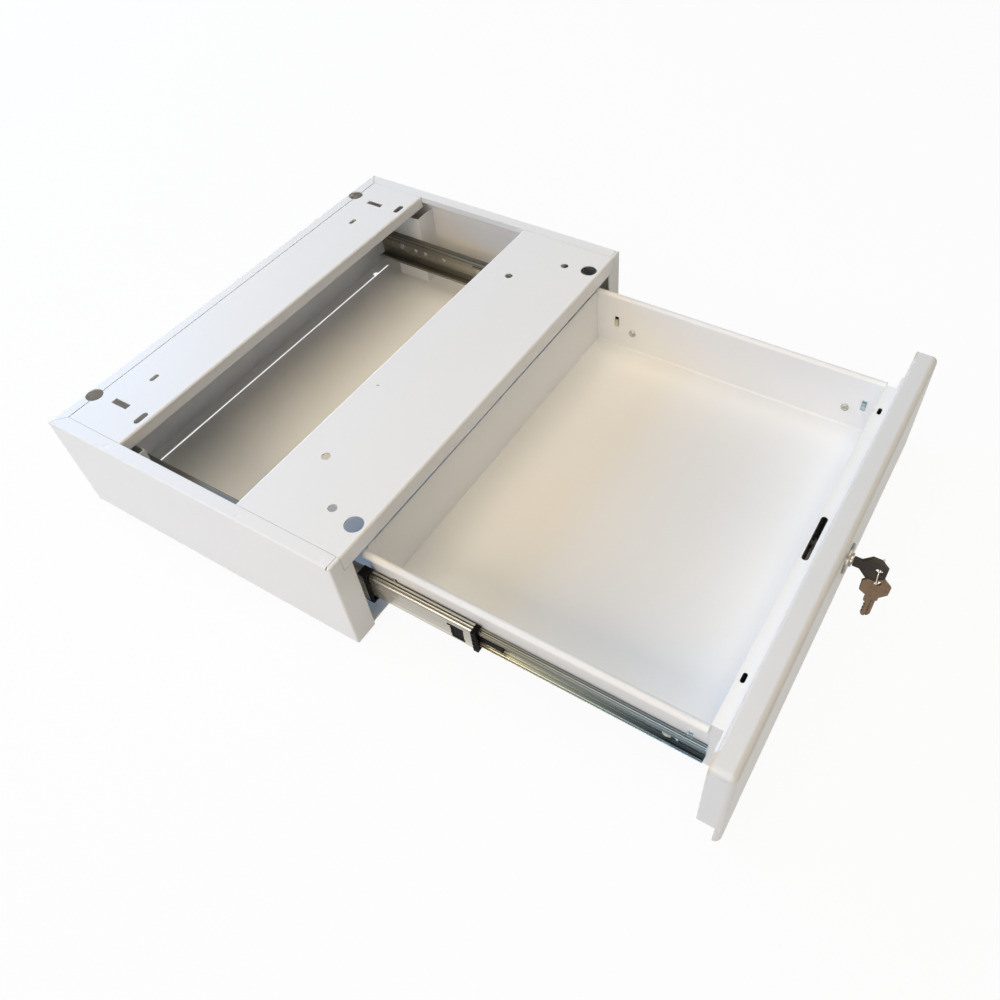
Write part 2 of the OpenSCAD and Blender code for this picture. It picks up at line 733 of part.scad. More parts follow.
// Box that joins the tray to the front panel and hides the lock's cam
module inner_front() {
    wing_x = half_w - return_w - 1.5;
    front = panel_y0 + fascia_t;
    color(white) translate([0, -travel, 0]) difference() {
        union() {
            block([-tray_half, tray_y0 - drawer_t, tray_z0], [tray_half, tray_y0, tray_z1]);
            block([-tray_half, panel_y1, tray_z1 - drawer_t], [tray_half, tray_y0, tray_z1]);
            both() {
                block([tray_half - drawer_t, front, tray_z0], [tray_half, tray_y0, tray_z1 - drawer_t + eps]);
                block([tray_half - drawer_t, front, tray_z0], [tray_half + 9, front + drawer_t, tray_z1 - 4]);
                block([tray_half - eps, panel_y1, tray_z1 - drawer_t], [wing_x, panel_y1 + 3.4, tray_z1]);
            }
            block([-tray_half, front, tray_z0], [tray_half, tray_y0, tray_z0 + drawer_t]);
            block([-tray_half, front, tray_z0 - 9], [tray_half, front + drawer_t, tray_z0 + eps]);
        }
        block([-tray_half - 10, front - cut, tray_z1 - 4], [tray_half + 10, panel_y1, tray_z1 + cut]);
        ledge_slot(lock_x - cam_slot_left, lock_x + cam_slot_right, cam_slot_w);
        for (x = [ledge_slot_shift - ledge_slot_out, ledge_slot_shift + ledge_slot_out])
            ledge_slot(x - ledge_slot_l / 2, x + ledge_slot_l / 2, 3.6);
        both() {
            edge_along_z(2.4, [wing_x, panel_y1 + 3.4, tray_z1 - 2 * drawer_t], 4 * drawer_t, 180);
        }
    }
}

// Flat-sided round shape of the lock's barrel
module barrel_shape(d) {
    intersection() {
        circle(d = d);
        square([plate_hole_flat * d, d + cut], center = true);
    }
}

module fascia() {
    color(white) translate([0, -travel, 0]) difference() {
        union() {
            block([-panel_half, panel_y0, panel_z0], [panel_half, panel_y0 + fascia_t, panel_z1]);
            block([-panel_half, panel_y0, panel_z1 - fascia_t], [panel_half, panel_y1, panel_z1]);
            block([-lip_half, panel_y1 - fascia_t, tray_z1], [lip_half, panel_y1, panel_z1]);
            // Bend between the panel's face and its top
            difference() {
                block([-panel_half, panel_y0, panel_z1 - fascia_top_r],
                    [panel_half, panel_y0 + fascia_top_r, panel_z1]);
                translate([-panel_half - cut, panel_y0 + fascia_top_r, panel_z1 - fascia_top_r])
                    rotate([0, 90, 0]) cylinder(r = fascia_top_r - fascia_t, h = 2 * (panel_half + cut));
            }
            both() {
                block([panel_half - fascia_t, panel_y0, panel_z1 - fascia_return_h],
                    [panel_half, panel_y1, panel_z1 - fascia_t + eps]);
                // Bend that runs on below the side return
                difference() {
                    block([panel_half - fascia_side_r, panel_y0, panel_z0],
                        [panel_half, panel_y0 + fascia_side_r, panel_z1]);
                    translate([panel_half - fascia_side_r, panel_y0 + fascia_side_r, panel_z0 - cut])
                        cylinder(r = fascia_side_r - fascia_t, h = fascia_h + 2 * cut);
                    block([panel_half - fascia_side_r - cut, panel_y0 + fascia_side_r, panel_z0 - cut],
                        [panel_half - fascia_t, panel_y0 + fascia_side_r + cut, panel_z1 + cut]);
                }
            }
            block([-tray_half, panel_y0, panel_z0], [tray_half, panel_y0 + 8, panel_z0 + fascia_t]);
        }
        both() edge_along_z(fascia_side_r, [panel_half, panel_y0, panel_z0 - cut], fascia_h + 2 * cut, 90);
        edge_along_x(fascia_top_r, [-panel_half - cut, panel_y0, panel_z1], 2 * (panel_half + cut), -90);
        edge_along_x(2, [-panel_half - cut, panel_y1, panel_z1], 2 * (panel_half + cut), 180);
        edge_along_x(2, [-panel_half - cut, panel_y0, panel_z0], 2 * (panel_half + cut), 0);
        translate([lock_x, panel_y0 + fascia_t + cut, -lock_z]) rotate([90, 0, 0])
            linear_extrude(fascia_t + 2 * cut) barrel_shape(barrel_d + 2 * turn_fit);
    }
}

module drawer_screws() {
    color(zinc) translate([0, -travel, 0]) both() for (sy = drawer_screw_ys) {
        translate([tray_x - 1.8, sy, -slide_z]) rotate([0, 90, 0]) {
            cylinder(d = head_d, h = 1.8);
            cylinder(r = screw_r, h = 1.8 + drawer_t + slide_t + nut_h + 0.6);
        }
        translate([rail_x + slide_t, sy, -slide_z]) rotate([0, 90, 0]) hex_prism(nut_af, nut_h);
    }
}

// Places a part of the lock, drawn along +Z from the front, on the lock's axis
module on_lock(y) {
    translate([lock_x, y - travel, -lock_z]) rotate([-90, 0, 0]) children();
}

module lock_housing() {
    color(nickel) difference() {
        union() {
            on_lock(panel_y0 - rosette_h) difference() {
                cylinder(d = rosette_d, h = rosette_h);
                rotate_extrude() translate([rosette_d / 2, 0]) mirror([1, 0]) corner(1.2);
            }
            on_lock(panel_y0 - eps) linear_extrude(barrel_y1 - panel_y0) barrel_shape(barrel_d);
        }
        on_lock(panel_y0 - rosette_h - cut)
            cylinder(r = plug_d / 2 + turn_fit, h = barrel_y1 - panel_y0 + rosette_h + 2 * cut);
    }
}

module lock_nut() {
    color(zinc) on_lock(panel_y0 + fascia_t) difference() {
        hex_prism(nut_across, nut_t);
        translate([0, 0, -cut]) linear_extrude(nut_t + 2 * cut) circle(d = barrel_d + 2 * turn_fit);
    }
}

module lock_plug() {
    color(nickel) difference() {
        union() {
            on_lock(plug_y0) cylinder(d = plug_d, h = plug_y1 - plug_y0);
            on_lock(plug_y1 - eps) translate([-cam_hub / 2, -cam_hub / 2, 0]) cube([cam_hub, cam_hub, cam_t]);
        }
        on_lock(plug_y0 - cut) translate([-key_t / 2 - key_fit, -key_h / 2 - key_fit, 0])
            cube([key_t + 2 * key_fit, key_h + 2 * key_fit, keyway_l + cut]);
        on_lock(plug_y1 - 4) cylinder(r = screw_r, h = 10);
    }
}

module lock_cam() {
    color(zinc) on_lock(cam_y - cam_t / 2) difference() {
        union() {
            cylinder(d = cam_w + 2, h = cam_t);
            translate([-cam_l + cam_w / 2, -cam_w / 2, 0]) cube([cam_l - cam_w / 2, cam_w, cam_t]);
            translate([-cam_l + cam_w / 2, 0, 0]) cylinder(d = cam_w, h = cam_t);
        }
        translate([-cam_hub / 2, -cam_hub / 2, -cut]) cube([cam_hub, cam_hub, cam_t + 2 * cut]);
    }
}

module cam_screw() {
    color(zinc) {
        on_lock(cam_y + cam_t / 2) cylinder(d = cam_head_d, h = cam_head_h);
        on_lock(plug_y1 - 3.6) cylinder(r = screw_r, h = cam_t + 3.6 + eps);
    }
}

module key_blade() {
    color(nickel) on_lock(plug_y0 - neck_l) difference() {
        union() {
            translate([-key_t / 2, -key_h / 2, 0]) cube([key_t, key_h, neck_l + key_l - key_h / 2]);
            translate([0, 0, neck_l + key_l - key_h / 2]) rotate([0, 90, 0])
                cylinder(d = key_h, h = key_t, center = true);
        }
        for (i = [0:3]) translate([-key_t, key_h / 2, neck_l + 4.5 + i * 4.4]) rotate([0, 90, 0])
            cylinder(r = 0.8 + 0.35 * (i % 2), h = 2 * key_t);
    }
}

// Outline of the key's head in (height, length), from its neck outwards
module key_head_outline() {
    w = key_head_w / 2;
    c = head_chamfer;
    difference() {
        union() {
            polygon([[-w + c + 1, 0], [w - c - 1, 0], [w, c], [w, key_head_l - c], [w - c, key_head_l],
                [-w + c, key_head_l], [-w, key_head_l - c], [-w, c]]);
            translate([-neck_w / 2, -neck_l + 0.6]) square([neck_w, neck_l]);
        }
        translate([0, head_y1 - key_hole_y]) circle(key_hole_r);
    }
}

module key_head() {
    color(black) difference() {
        translate([lock_x, head_y1 - travel, -lock_z]) rotate([0, 0, 180]) rotate([90, 0, 90])
            linear_extrude(head_t, center = true) rotate(90) mirror([0, 1]) key_head_outline();
        on_lock(plug_y0 - neck_l) translate([-key_t / 2, -key_h / 2, 0]) cube([key_t, key_h, neck_l + cut]);
    }
}

module key_ring() {
    color(zinc) translate(ring_centre - [0, travel, 0]) rotate([-90 - ring_tilt, 0, 0])
        rotate_extrude() translate([ring_r, 0]) circle(wire_r, $fn = 24);
}

// Outline of the spare key in (length across, height), about its ring hole
module spare_outline() {
    difference() {
        union() {
            polygon([[0, 7], [-5.6, 4.4], [-12.6, -5.7], [-12.2, -16.8], [-5.5, -20.6], [-5.5, -25], [5.7, -25],
                [5.7, -16.5], [12.5, -8.7], [13, 4.4], [9, 7]]);
            translate([-key_h / 2, key_h / 2 - spare_l]) square([key_h, spare_l - 24]);
            translate([0, key_h / 2 - spare_l]) circle(d = key_h);
        }
        circle(key_hole_r);
        for (i = [0:2]) translate([key_h / 2 + 0.3, -29.5 - 5 * i]) circle(1.1);
    }
}

module spare_key() {
    color(brass) translate(spare_at - [0, travel, 0]) rotate([0, 0, spare_turn])
        difference() {
            rotate([90, 0, 90]) linear_extrude(spare_t, center = true) spare_outline();
            translate([-spare_t / 2 - eps, -1, -spare_l - cut]) cube([0.6, 1.2, spare_l - 24 + cut]);
        }
}

casing_shell();
rear_top_plate();
front_top_plate();
front_plate_flange();
opening_flange();
bottom_panel();
left() bracket(front_bracket_y);  // front_bracket_left
bracket(front_bracket_y);  // front_bracket_right
left() bracket(rear_bracket_y);  // rear_bracket_left
bracket(rear_bracket_y);  // rear_bracket_right
left() outer_slide();  // outer_slide_left
outer_slide();  // outer_slide_right
left() outer_buffer();  // outer_buffer_left
outer_buffer();  // outer_buffer_right
slide_screws();
left() outer_ball_cage();  // outer_ball_cage_left
outer_ball_cage();  // outer_ball_cage_right
left() middle_slide();  // middle_slide_left
middle_slide();  // middle_slide_right
left() middle_clip();  // middle_clip_left
middle_clip();  // middle_clip_right
left() inner_ball_cage();  // inner_ball_cage_left
inner_ball_cage();  // inner_ball_cage_right
drawer_tray();
inner_front();
fascia();
left() inner_slide();  // inner_slide_left
inner_slide();  // inner_slide_right
drawer_screws();
left() release_lever();  // release_lever_left
release_lever();  // release_lever_right
lock_housing();
lock_nut();
lock_plug();
lock_cam();
cam_screw();
key_blade();
key_head();
key_ring();
spare_key();
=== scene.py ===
import json
from math import radians
import bpy
from mathutils import Matrix, Vector

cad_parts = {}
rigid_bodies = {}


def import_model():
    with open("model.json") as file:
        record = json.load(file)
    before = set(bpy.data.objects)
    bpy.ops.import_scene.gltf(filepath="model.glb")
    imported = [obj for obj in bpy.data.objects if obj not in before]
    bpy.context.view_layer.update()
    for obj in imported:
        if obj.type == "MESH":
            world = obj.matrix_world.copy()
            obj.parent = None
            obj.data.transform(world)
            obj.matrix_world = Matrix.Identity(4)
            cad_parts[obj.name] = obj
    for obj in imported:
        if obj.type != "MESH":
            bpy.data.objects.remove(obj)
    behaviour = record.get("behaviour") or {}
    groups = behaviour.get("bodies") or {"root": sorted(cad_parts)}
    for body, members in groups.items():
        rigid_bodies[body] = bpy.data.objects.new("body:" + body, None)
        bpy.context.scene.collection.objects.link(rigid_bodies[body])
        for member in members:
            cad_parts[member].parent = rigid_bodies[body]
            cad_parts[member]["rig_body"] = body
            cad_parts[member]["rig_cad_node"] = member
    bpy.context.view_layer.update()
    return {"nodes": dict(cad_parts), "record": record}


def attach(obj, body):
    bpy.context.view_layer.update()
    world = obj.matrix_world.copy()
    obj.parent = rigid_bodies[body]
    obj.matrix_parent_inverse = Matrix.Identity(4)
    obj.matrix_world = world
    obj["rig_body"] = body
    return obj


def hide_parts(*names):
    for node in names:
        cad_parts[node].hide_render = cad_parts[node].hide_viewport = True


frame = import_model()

nodes = frame["nodes"]

# The camera stands where the photograph was taken from, and its shift gives the photograph's crop
view = {
    "place": (-0.45879, -0.39880, 0.53768),
    "right": (0.51617, -0.85548, -0.04152),
    "down": (-0.66762, -0.37150, -0.64519),
    "focal": 873.18, "middle": (552.34, 489.33), "picture": 1000,  # in the photograph's pixels
    "sensor": 36, "nearest": 0.01,
}

camera = bpy.data.cameras.new("camera")
camera.sensor_width = view["sensor"]
camera.lens = view["focal"] / view["picture"] * view["sensor"]
camera.shift_x = (view["picture"] / 2 - view["middle"][0]) / view["picture"]
camera.shift_y = (view["middle"][1] - view["picture"] / 2) / view["picture"]
camera.clip_start = view["nearest"]
eye = bpy.data.objects.new("camera", camera)
bpy.context.scene.collection.objects.link(eye)
right, down = Vector(view["right"]), Vector(view["down"])
turn = Matrix((right, -down, -right.cross(down))).transposed().to_4x4()
eye.matrix_world = Matrix.Translation(view["place"]) @ turn
bpy.context.scene.camera = eye
bpy.context.scene.view_settings.view_transform = "Standard"
print("camera set")


# A node's output, which can be added, multiplied and compared like a number
class Wire:
    def __init__(self, finish, socket):
        self.finish = finish
        self.socket = socket

    def maths(self, operation, first, second):
        return self.finish.add("ShaderNodeMath", {"operation": operation}, first, second)

    def __add__(self, other): return self.maths("ADD", self, other)
    def __radd__(self, other): return self.maths("ADD", other, self)
    def __sub__(self, other): return self.maths("SUBTRACT", self, other)
    def __rsub__(self, other): return self.maths("SUBTRACT", other, self)
    def __mul__(self, other): return self.maths("MULTIPLY", self, other)
    def __rmul__(self, other): return self.maths("MULTIPLY", other, self)
    def __gt__(self, other): return self.maths("GREATER_THAN", self, other)
    def __lt__(self, other): return self.maths("LESS_THAN", self, other)
    def __abs__(self): return self.maths("ABSOLUTE", self, 0)
    def top(self, other): return self.maths("MAXIMUM", self, other)


class Finish:
    def __init__(self, name):
        self.material = bpy.data.materials.new(name)
        self.material.use_nodes = True
        self.tree = self.material.node_tree
        self.shader = self.tree.nodes["Principled BSDF"]
        self.place = None

    def link(self, value, socket):
        if isinstance(value, Wire):
            self.tree.links.new(value.socket, socket)
        elif value is not None:
            if isinstance(value, tuple) and len(value) == 3 and socket.type == "RGBA":
                value = (*value, 1)
            socket.default_value = value

    # Any node: its type, its settings, then the values or links of its sockets
    def add(self, kind, settings=None, *values, out=0, **named):
        node = self.tree.nodes.new(kind)
        for key, value in (settings or {}).items():
            if key == "stops":
                ramp = node.color_ramp
                while len(ramp.elements) < len(value):
                    ramp.elements.new(1)
                for element, (stop, shade) in zip(ramp.elements, value):
                    element.position = stop
                    element.color = (*shade, 1) if isinstance(shade, tuple) else (shade, shade, shade, 1)
            else:
                setattr(node, key, value)
        for index, value in enumerate(values):
            self.link(value, node.inputs[index])
        for key, value in named.items():
            self.link(value, node.inputs[key.replace("_", " ")])
        return Wire(self, node.outputs[out])

    def here(self, stretch=(1, 1, 1)):
        if self.place is None:
            self.place = self.add("ShaderNodeTexCoord", out="Object")
        if stretch == (1, 1, 1):
            return self.place
        return self.add("ShaderNodeMapping", None, self.place, Scale=stretch)

    # How far along an axis, in metres
    def along(self, axis):
        return self.add("ShaderNodeSeparateXYZ", None, self.here(), out=axis)

    def noise(self, scale, detail=2, rough=0.5, stretch=(1, 1, 1)):
        return self.add("ShaderNodeTexNoise", None, Vector=self.here(stretch), Scale=scale, Detail=detail,
                        Roughness=rough)

    def ramp(self, value, stops):
        return self.add("ShaderNodeValToRGB", {"stops": stops}, value)

    # None below start and all above end, as in spots or stains
    def patches(self, value, start, end):
        return self.ramp(value, [(start, 0.0), (end, 1.0)])

    def rise(self, value, start, end, first=0.0, last=1.0):
        return self.add("ShaderNodeMapRange", None, value, start, end, first, last)

    def blend(self, factor, first, second, kind="MIX"):
        skipped = [None] * 5  # the sockets for blending numbers and directions
        return self.add("ShaderNodeMix", {"data_type": "RGBA", "blend_type": kind}, factor, *skipped,
                        first, second, out=2)

    # How near a point is to a place, 1 within radius and falling off over soft
    def near(self, place, radius, soft):
        away = self.add("ShaderNodeVectorMath", {"operation": "DISTANCE"}, self.here(), place, out="Value")
        return self.rise(away, radius, radius + soft, 1.0, 0.0)

    # Edges that catch the light, as if worn round
    def edges(self, radius):
        return self.add("ShaderNodeBevel", {"samples": 4}, Radius=radius)

    def bump(self, height, strength, distance, under=None):
        return self.add("ShaderNodeBump", None, Strength=strength, Distance=distance, Height=height,
                        Normal=under)

    def set(self, **sockets):
        for key, value in sockets.items():
            self.link(value, self.shader.inputs[key.replace("_", " ")])
        return self.material


# Noise turned into a value that varies round its middle
def around(noise, middle, spread):
    return noise * spread + (middle - spread / 2)


coatLook = {
    # panelPaintedShade: the front panel's coat is painted darker and cooler, as painted shade for the lesser
    # light on the panel
    "tint": (0.86, 0.857, 0.843), "panelPaintedShade": (0.765, 0.785, 0.80),
    "clouds": 9, "cloudShade": 0.985,
    "dustScale": 700, "dustRange": (0.66, 0.80), "dust": 0.12, "dustTint": (0.55, 0.53, 0.50),
    "roughness": 0.36, "roughSpread": 0.08, "roughScale": 60, "edge": 0.0005,
    "fine": 1400, "coarse": 420, "peel": 0.13, "peelHigh": 0.00035,
    # fold and foldAbove: where the painted warm shade of foldPaintedShade lies on the panel's rear fold
    "fold": (-0.3520, -0.3502), "foldAbove": -0.0125, "foldPaintedShade": (0.74, 0.68, 0.60),
}
weldLook = {"side": 0.227, "back": (-0.025, 0.0623, 0.220), "radius": 0.0016, "soft": 0.0010,
            "strength": 0.3, "deep": 0.0006}


# White powder coat with orange peel and faint specks, and where asked with the marks of spot welds or with
# painted warm shade on the panel's rear fold
def coat(name, tint, welds=False, fold=False):
    look = coatLook
    f = Finish(name)
    shaded = tuple(c * look["cloudShade"] for c in tint)
    shade = f.ramp(f.noise(look["clouds"], 3), [(0.3, shaded), (0.7, tint)])
    if fold:  # painted warm shade on the panel's rear fold, which the lamps behind would turn blue
        rear = f.rise(f.along("Y"), *look["fold"]) * (f.along("Z") > look["foldAbove"])
        shade = f.blend(rear, shade, look["foldPaintedShade"])
    dust = f.patches(f.noise(look["dustScale"], 4, 0.6), *look["dustRange"])
    shade = f.blend(dust * look["dust"], shade, look["dustTint"])
    normal = f.edges(look["edge"])
    if welds:
        marks = None
        for side in (-weldLook["side"], weldLook["side"]):
            for back in weldLook["back"]:
                mark = f.near((side, back, 0.0), weldLook["radius"], weldLook["soft"])
                marks = marks.top(mark) if marks else mark
        normal = f.bump(1 - marks, weldLook["strength"], weldLook["deep"], normal)
    peel = f.noise(look["fine"], 3, 0.55) * 0.6 + f.noise(look["coarse"]) * 0.4
    normal = f.bump(peel, look["peel"], look["peelHigh"], normal)
    roughness = around(f.noise(look["roughScale"]), look["roughness"], look["roughSpread"])
    return f.set(Base_Color=shade, Roughness=roughness, Normal=normal)


zincLook = {
    "tint": (0.56, 0.55, 0.51), "dark": (0.30, 0.29, 0.27), "grain": 420, "grainRange": (0.32, 0.55),
    "stains": 35, "stainRange": (0.45, 0.75), "stained": 0.35, "stainTint": (0.66, 0.60, 0.42),
    "roughness": 0.3, "roughSpread": 0.16, "roughScale": 180,
    "edge": 0.0003, "bump": 0.1, "bumpHigh": 0.0002,
}
# The cam's steel is painted near black: painted shade for the dark slot it sits in
camPaintedShadeLook = {"tint": (0.055, 0.055, 0.058), "dark": (0.02, 0.02, 0.022), "roughness": 0.5}


# Zinc plate with dark grain and yellowish stains
def zinc(name, **change):
    look = {**zincLook, **change}
    f = Finish(name)
    grain = f.noise(look["grain"], 3, 0.6)
    darkest, lightest = look["grainRange"]
    shade = f.ramp(grain, [(darkest, look["dark"]), (lightest, look["tint"])])
    stains = f.patches(f.noise(look["stains"], 3), *look["stainRange"])
    shade = f.blend(stains * look["stained"], shade, look["stainTint"])
    normal = f.bump(grain, look["bump"], look["bumpHigh"], f.edges(look["edge"]))
    roughness = around(f.noise(look["roughScale"], 3), look["roughness"], look["roughSpread"])
    return f.set(Base_Color=shade, Metallic=1.0, Roughness=roughness, Normal=normal)


plasticLook = {
    "dark": (0.005, 0.005, 0.006), "pale": (0.012, 0.011, 0.012), "clouds": 90, "grain": 1800,
    "roughness": 0.55, "roughSpread": 0.16, "roughScale": 300, "gloss": 0.05,
    "edge": 0.0003, "bump": 0.15, "bumpHigh": 0.0002,
}
keyPlasticLook = {"dark": (0.024, 0.017, 0.011), "pale": (0.046, 0.036, 0.026), "roughness": 0.52,
                  "gloss": 0.3}


# Moulded black plastic with a fine grain
def plastic(name, **change):
    look = {**plasticLook, **change}
    f = Finish(name)
    shade = f.ramp(f.noise(look["clouds"], 3), [(0.3, look["dark"]), (0.75, look["pale"])])
    normal = f.bump(f.noise(look["grain"]), look["bump"], look["bumpHigh"], f.edges(look["edge"]))
    roughness = around(f.noise(look["roughScale"]), look["roughness"], look["roughSpread"])
    return f.set(Base_Color=shade, Roughness=roughness, Specular_IOR_Level=look["gloss"], Normal=normal)


polishLook = {
    "scuffScale": 260, "scuffRange": (0.4, 0.72), "brush": 900, "brushStretch": (1, 1, 0.12),
    "roughSpread": 0.22, "edge": 0.0003, "bump": 0.12, "bumpHigh": 0.00015,
}
nickelLook = {"tint": (0.40, 0.37, 0.33), "dark": (0.16, 0.145, 0.12), "roughness": 0.25, "scuffs": 0.8}
ringFinish = {"tint": (0.74, 0.65, 0.50), "dark": (0.42, 0.36, 0.27), "roughness": 0.29, "scuffs": 0.5}
brassLook = {"tint": (0.205, 0.134, 0.078), "dark": (0.115, 0.074, 0.044), "roughness": 0.39, "scuffs": 0.7}


# Brushed or polished metal with darker scuffs
def polished(name, **change):
    look = {**polishLook, **change}
    f = Finish(name)
    brush = f.noise(look["brush"], 5, 0.7, look["brushStretch"])
    scuffs = f.patches(f.noise(look["scuffScale"], 4, 0.6), *look["scuffRange"])
    shade = f.blend(scuffs * look["scuffs"], look["tint"], look["dark"])
    normal = f.bump(brush, look["bump"], look["bumpHigh"], f.edges(look["edge"]))
    roughness = around(brush, look["roughness"], look["roughSpread"])
    return f.set(Base_Color=shade, Metallic=1.0, Roughness=roughness, Normal=normal)


# The slides' bright zinc, with painted light. Each rail has painted highlights, painted reflections and
# painted shade across its upper and lower flange, by the distance from the drawer's wall (0 to 13 mm as 0 to
# 1), and up its web, and a painted reflection tint at its front and at its back
railFinish = {
    "wall": 0.1913, "level": -0.064, "deep": 0.013, "flange": 0.0010, "metal": 0.78, "edge": 0.0003,
    "wave": 0.05, "waveScale": 95, "waveStretch": (1, 0.012, 1),
    "lineScale": 330, "lineStretch": (1, 0.008, 1), "lineShades": [(0.34, 0.72), (0.6, 1.0)],
    "spotScale": 240, "spotStretch": (1, 0.4, 1), "spotRange": (0.62, 0.78), "spots": 0.16,
    "spotTint": (0.30, 0.28, 0.24),
    "roughSpread": 0.14, "roughScale": 60, "roughStretch": (1, 0.05, 1),
}
# Painted light on the outer rail: a darker, yellower tint at the back as painted shade inside the casing, and
# painted highlights and shade in its flange and web ramps
outerZincPaintedLight = {
    "half": 0.0174, "roughness": 0.29, "from": (-0.03, 0.27),
    "front": (0.66, 0.63, 0.55), "back": (0.52, 0.48, 0.38),
    "upperPaintedLight": [(0.2, 0.22), (0.30, 0.42), (0.5, 0.26), (0.8, 0.34), (1.0, 0.5)],
    "lowerPaintedLight": [(0.2, 0.45), (0.9, 0.3)],
    "lowerBackPaintedLight": [(0.2, 0.45), (0.9, 0.3)],
    "web": [(0.0, 0.7), (0.3, 0.95), (0.7, 0.85), (0.94, 0.45)],
    "webBackPaintedLight": [(0.0, 0.6), (0.94, 0.5)],
}
# Painted light on the middle rail: dark painted shadow lines and bright painted highlight lines across its
# upper flange, and a painted sheen up its web
middleZincPaintedLight = {
    "half": 0.0131, "roughness": 0.24, "from": (-0.14, 0.13),
    "front": (1.0, 0.95, 0.83), "back": (0.92, 0.86, 0.72),
    "upperPaintedLight": [(0.10, 0.05), (0.15, 0.75), (0.23, 0.92), (0.30, 0.08), (0.36, 0.10), (0.41, 0.85),
              (0.49, 0.45), (0.54, 0.07), (0.59, 0.6), (0.65, 0.95), (0.70, 0.24), (0.76, 0.7)],
    "lowerPaintedLight": [(0.1, 0.3), (0.8, 0.5)],
    "lowerBackPaintedLight": [(0.1, 0.3), (0.8, 0.5)],
    "web": [(0.0, 0.55), (0.06, 0.66), (0.6, 0.6), (0.92, 0.52), (0.97, 0.85)],
    "webBackPaintedLight": [(0.0, 0.5), (0.06, 0.6), (0.6, 0.55), (0.92, 0.4), (0.97, 0.8)],
}
# Painted light on the inner rail: a painted blue reflection at its front, a painted cream one at its back,
# and painted highlights and shade in its flange and web ramps
innerZincPaintedLight = {
    "half": 0.0098, "roughness": 0.24, "from": (-0.31, -0.15),
    "front": (0.70, 0.90, 1.0), "back": (0.98, 0.93, 0.72),
    "upperPaintedLight": [(0.0, 0.6), (0.03, 0.06), (0.08, 0.42), (0.15, 0.40), (0.20, 0.10), (0.25, 0.46),
              (0.31, 0.12), (0.36, 0.50), (0.45, 0.42), (0.50, 0.16)],
    "lowerPaintedLight": [(0.05, 0.10), (0.16, 0.30), (0.26, 0.75), (0.31, 0.28), (0.37, 0.85), (0.43, 0.45),
              (0.52, 1.0)],
    "lowerBackPaintedLight": [(0.05, 0.75), (0.14, 0.95), (0.20, 0.45), (0.26, 1.0), (0.32, 0.5), (0.38, 1.0),
                  (0.46, 0.55), (0.52, 1.0)],
    "web": [(0.0, 0.10), (0.08, 0.03), (0.15, 0.02), (0.20, 0.10), (0.25, 0.42), (0.33, 0.75),
            (0.40, 0.35), (0.46, 0.8), (1.0, 0.7)],
    "webBackPaintedLight": [(0.0, 1.0), (0.10, 0.95), (0.14, 0.35), (0.19, 1.0), (0.26, 0.45), (0.32, 0.95),
                (0.39, 0.5), (0.46, 0.9), (1.0, 0.7)],
}


def railZincPaintedLight(name, paintedLightTones):
    look = railFinish
    f = Finish(name)
    up = f.along("Z") - look["level"]
    wave = (f.noise(look["waveScale"], stretch=look["waveStretch"]) - 0.5) * look["wave"]
    across = (abs(f.along("X")) - look["wall"]) * (1 / look["deep"]) + wave
    high = up * (0.5 / paintedLightTones["half"]) + 0.5 + wave
    # Painted light laid into the base colour: a blend from the front's to the back's painted reflection tint,
    # and ramps of painted highlights and shade
    paintedLightBackShare = f.rise(f.along("Y"), *paintedLightTones["from"])
    upperPaintedLight = f.ramp(across, paintedLightTones["upperPaintedLight"])
    lowerPaintedLight = f.blend(paintedLightBackShare, f.ramp(across, paintedLightTones["lowerPaintedLight"]), f.ramp(across, paintedLightTones["lowerBackPaintedLight"]))
    # the web's ramps of painted sheen and shade, at the front and at the back
    web = f.blend(paintedLightBackShare, f.ramp(high, paintedLightTones["web"]), f.ramp(high, paintedLightTones["webBackPaintedLight"]))
    inside = paintedLightTones["half"] - look["flange"]
    paintedLightStripes = f.blend(up > inside, f.blend(up < -inside, web, lowerPaintedLight), upperPaintedLight)
    # the painted reflection tint, from the front to the back
    tint = f.blend(paintedLightBackShare, paintedLightTones["front"], paintedLightTones["back"])
    lines = f.ramp(f.noise(look["lineScale"], stretch=look["lineStretch"]), look["lineShades"])
    shade = f.blend(1.0, f.blend(1.0, paintedLightStripes, tint, "MULTIPLY"), lines, "MULTIPLY")
    spots = f.patches(f.noise(look["spotScale"], 3, 0.6, look["spotStretch"]), *look["spotRange"])
    shade = f.blend(spots * look["spots"], shade, look["spotTint"])
    rough = f.noise(look["roughScale"], stretch=look["roughStretch"])
    roughness = around(rough, paintedLightTones["roughness"], look["roughSpread"])
    return f.set(Base_Color=shade, Metallic=look["metal"], Roughness=roughness, Normal=f.edges(look["edge"]))


whiteCoat = coat("whiteCoat", coatLook["tint"])
casingCoat = coat("casingCoat", coatLook["tint"], welds=True)
# The front panel's coat: a darker copy of the white coat as painted shade, with painted warm shade on its
# rear fold
panelCoatPaintedShade = coat("panelCoatPaintedShade", coatLook["panelPaintedShade"], fold=True)
zincOuterPaintedLight = railZincPaintedLight("zincOuterPaintedLight", outerZincPaintedLight)
zincMiddlePaintedLight = railZincPaintedLight("zincMiddlePaintedLight", middleZincPaintedLight)
zincInnerPaintedLight = railZincPaintedLight("zincInnerPaintedLight", innerZincPaintedLight)
zincPart = zinc("zincPart")
camSteelPaintedShade = zinc("camSteelPaintedShade", **camPaintedShadeLook)
blackPlastic = plastic("blackPlastic")
keyPlastic = plastic("keyPlastic", **keyPlasticLook)
nickel = polished("nickel", **nickelLook)
ringNickel = polished("ringNickel", **ringFinish)
brass = polished("brownedBrass", **brassLook)
print("finishes made")


# Lengths below are in millimetres
def mm(*place):
    return Vector(place) * 0.001


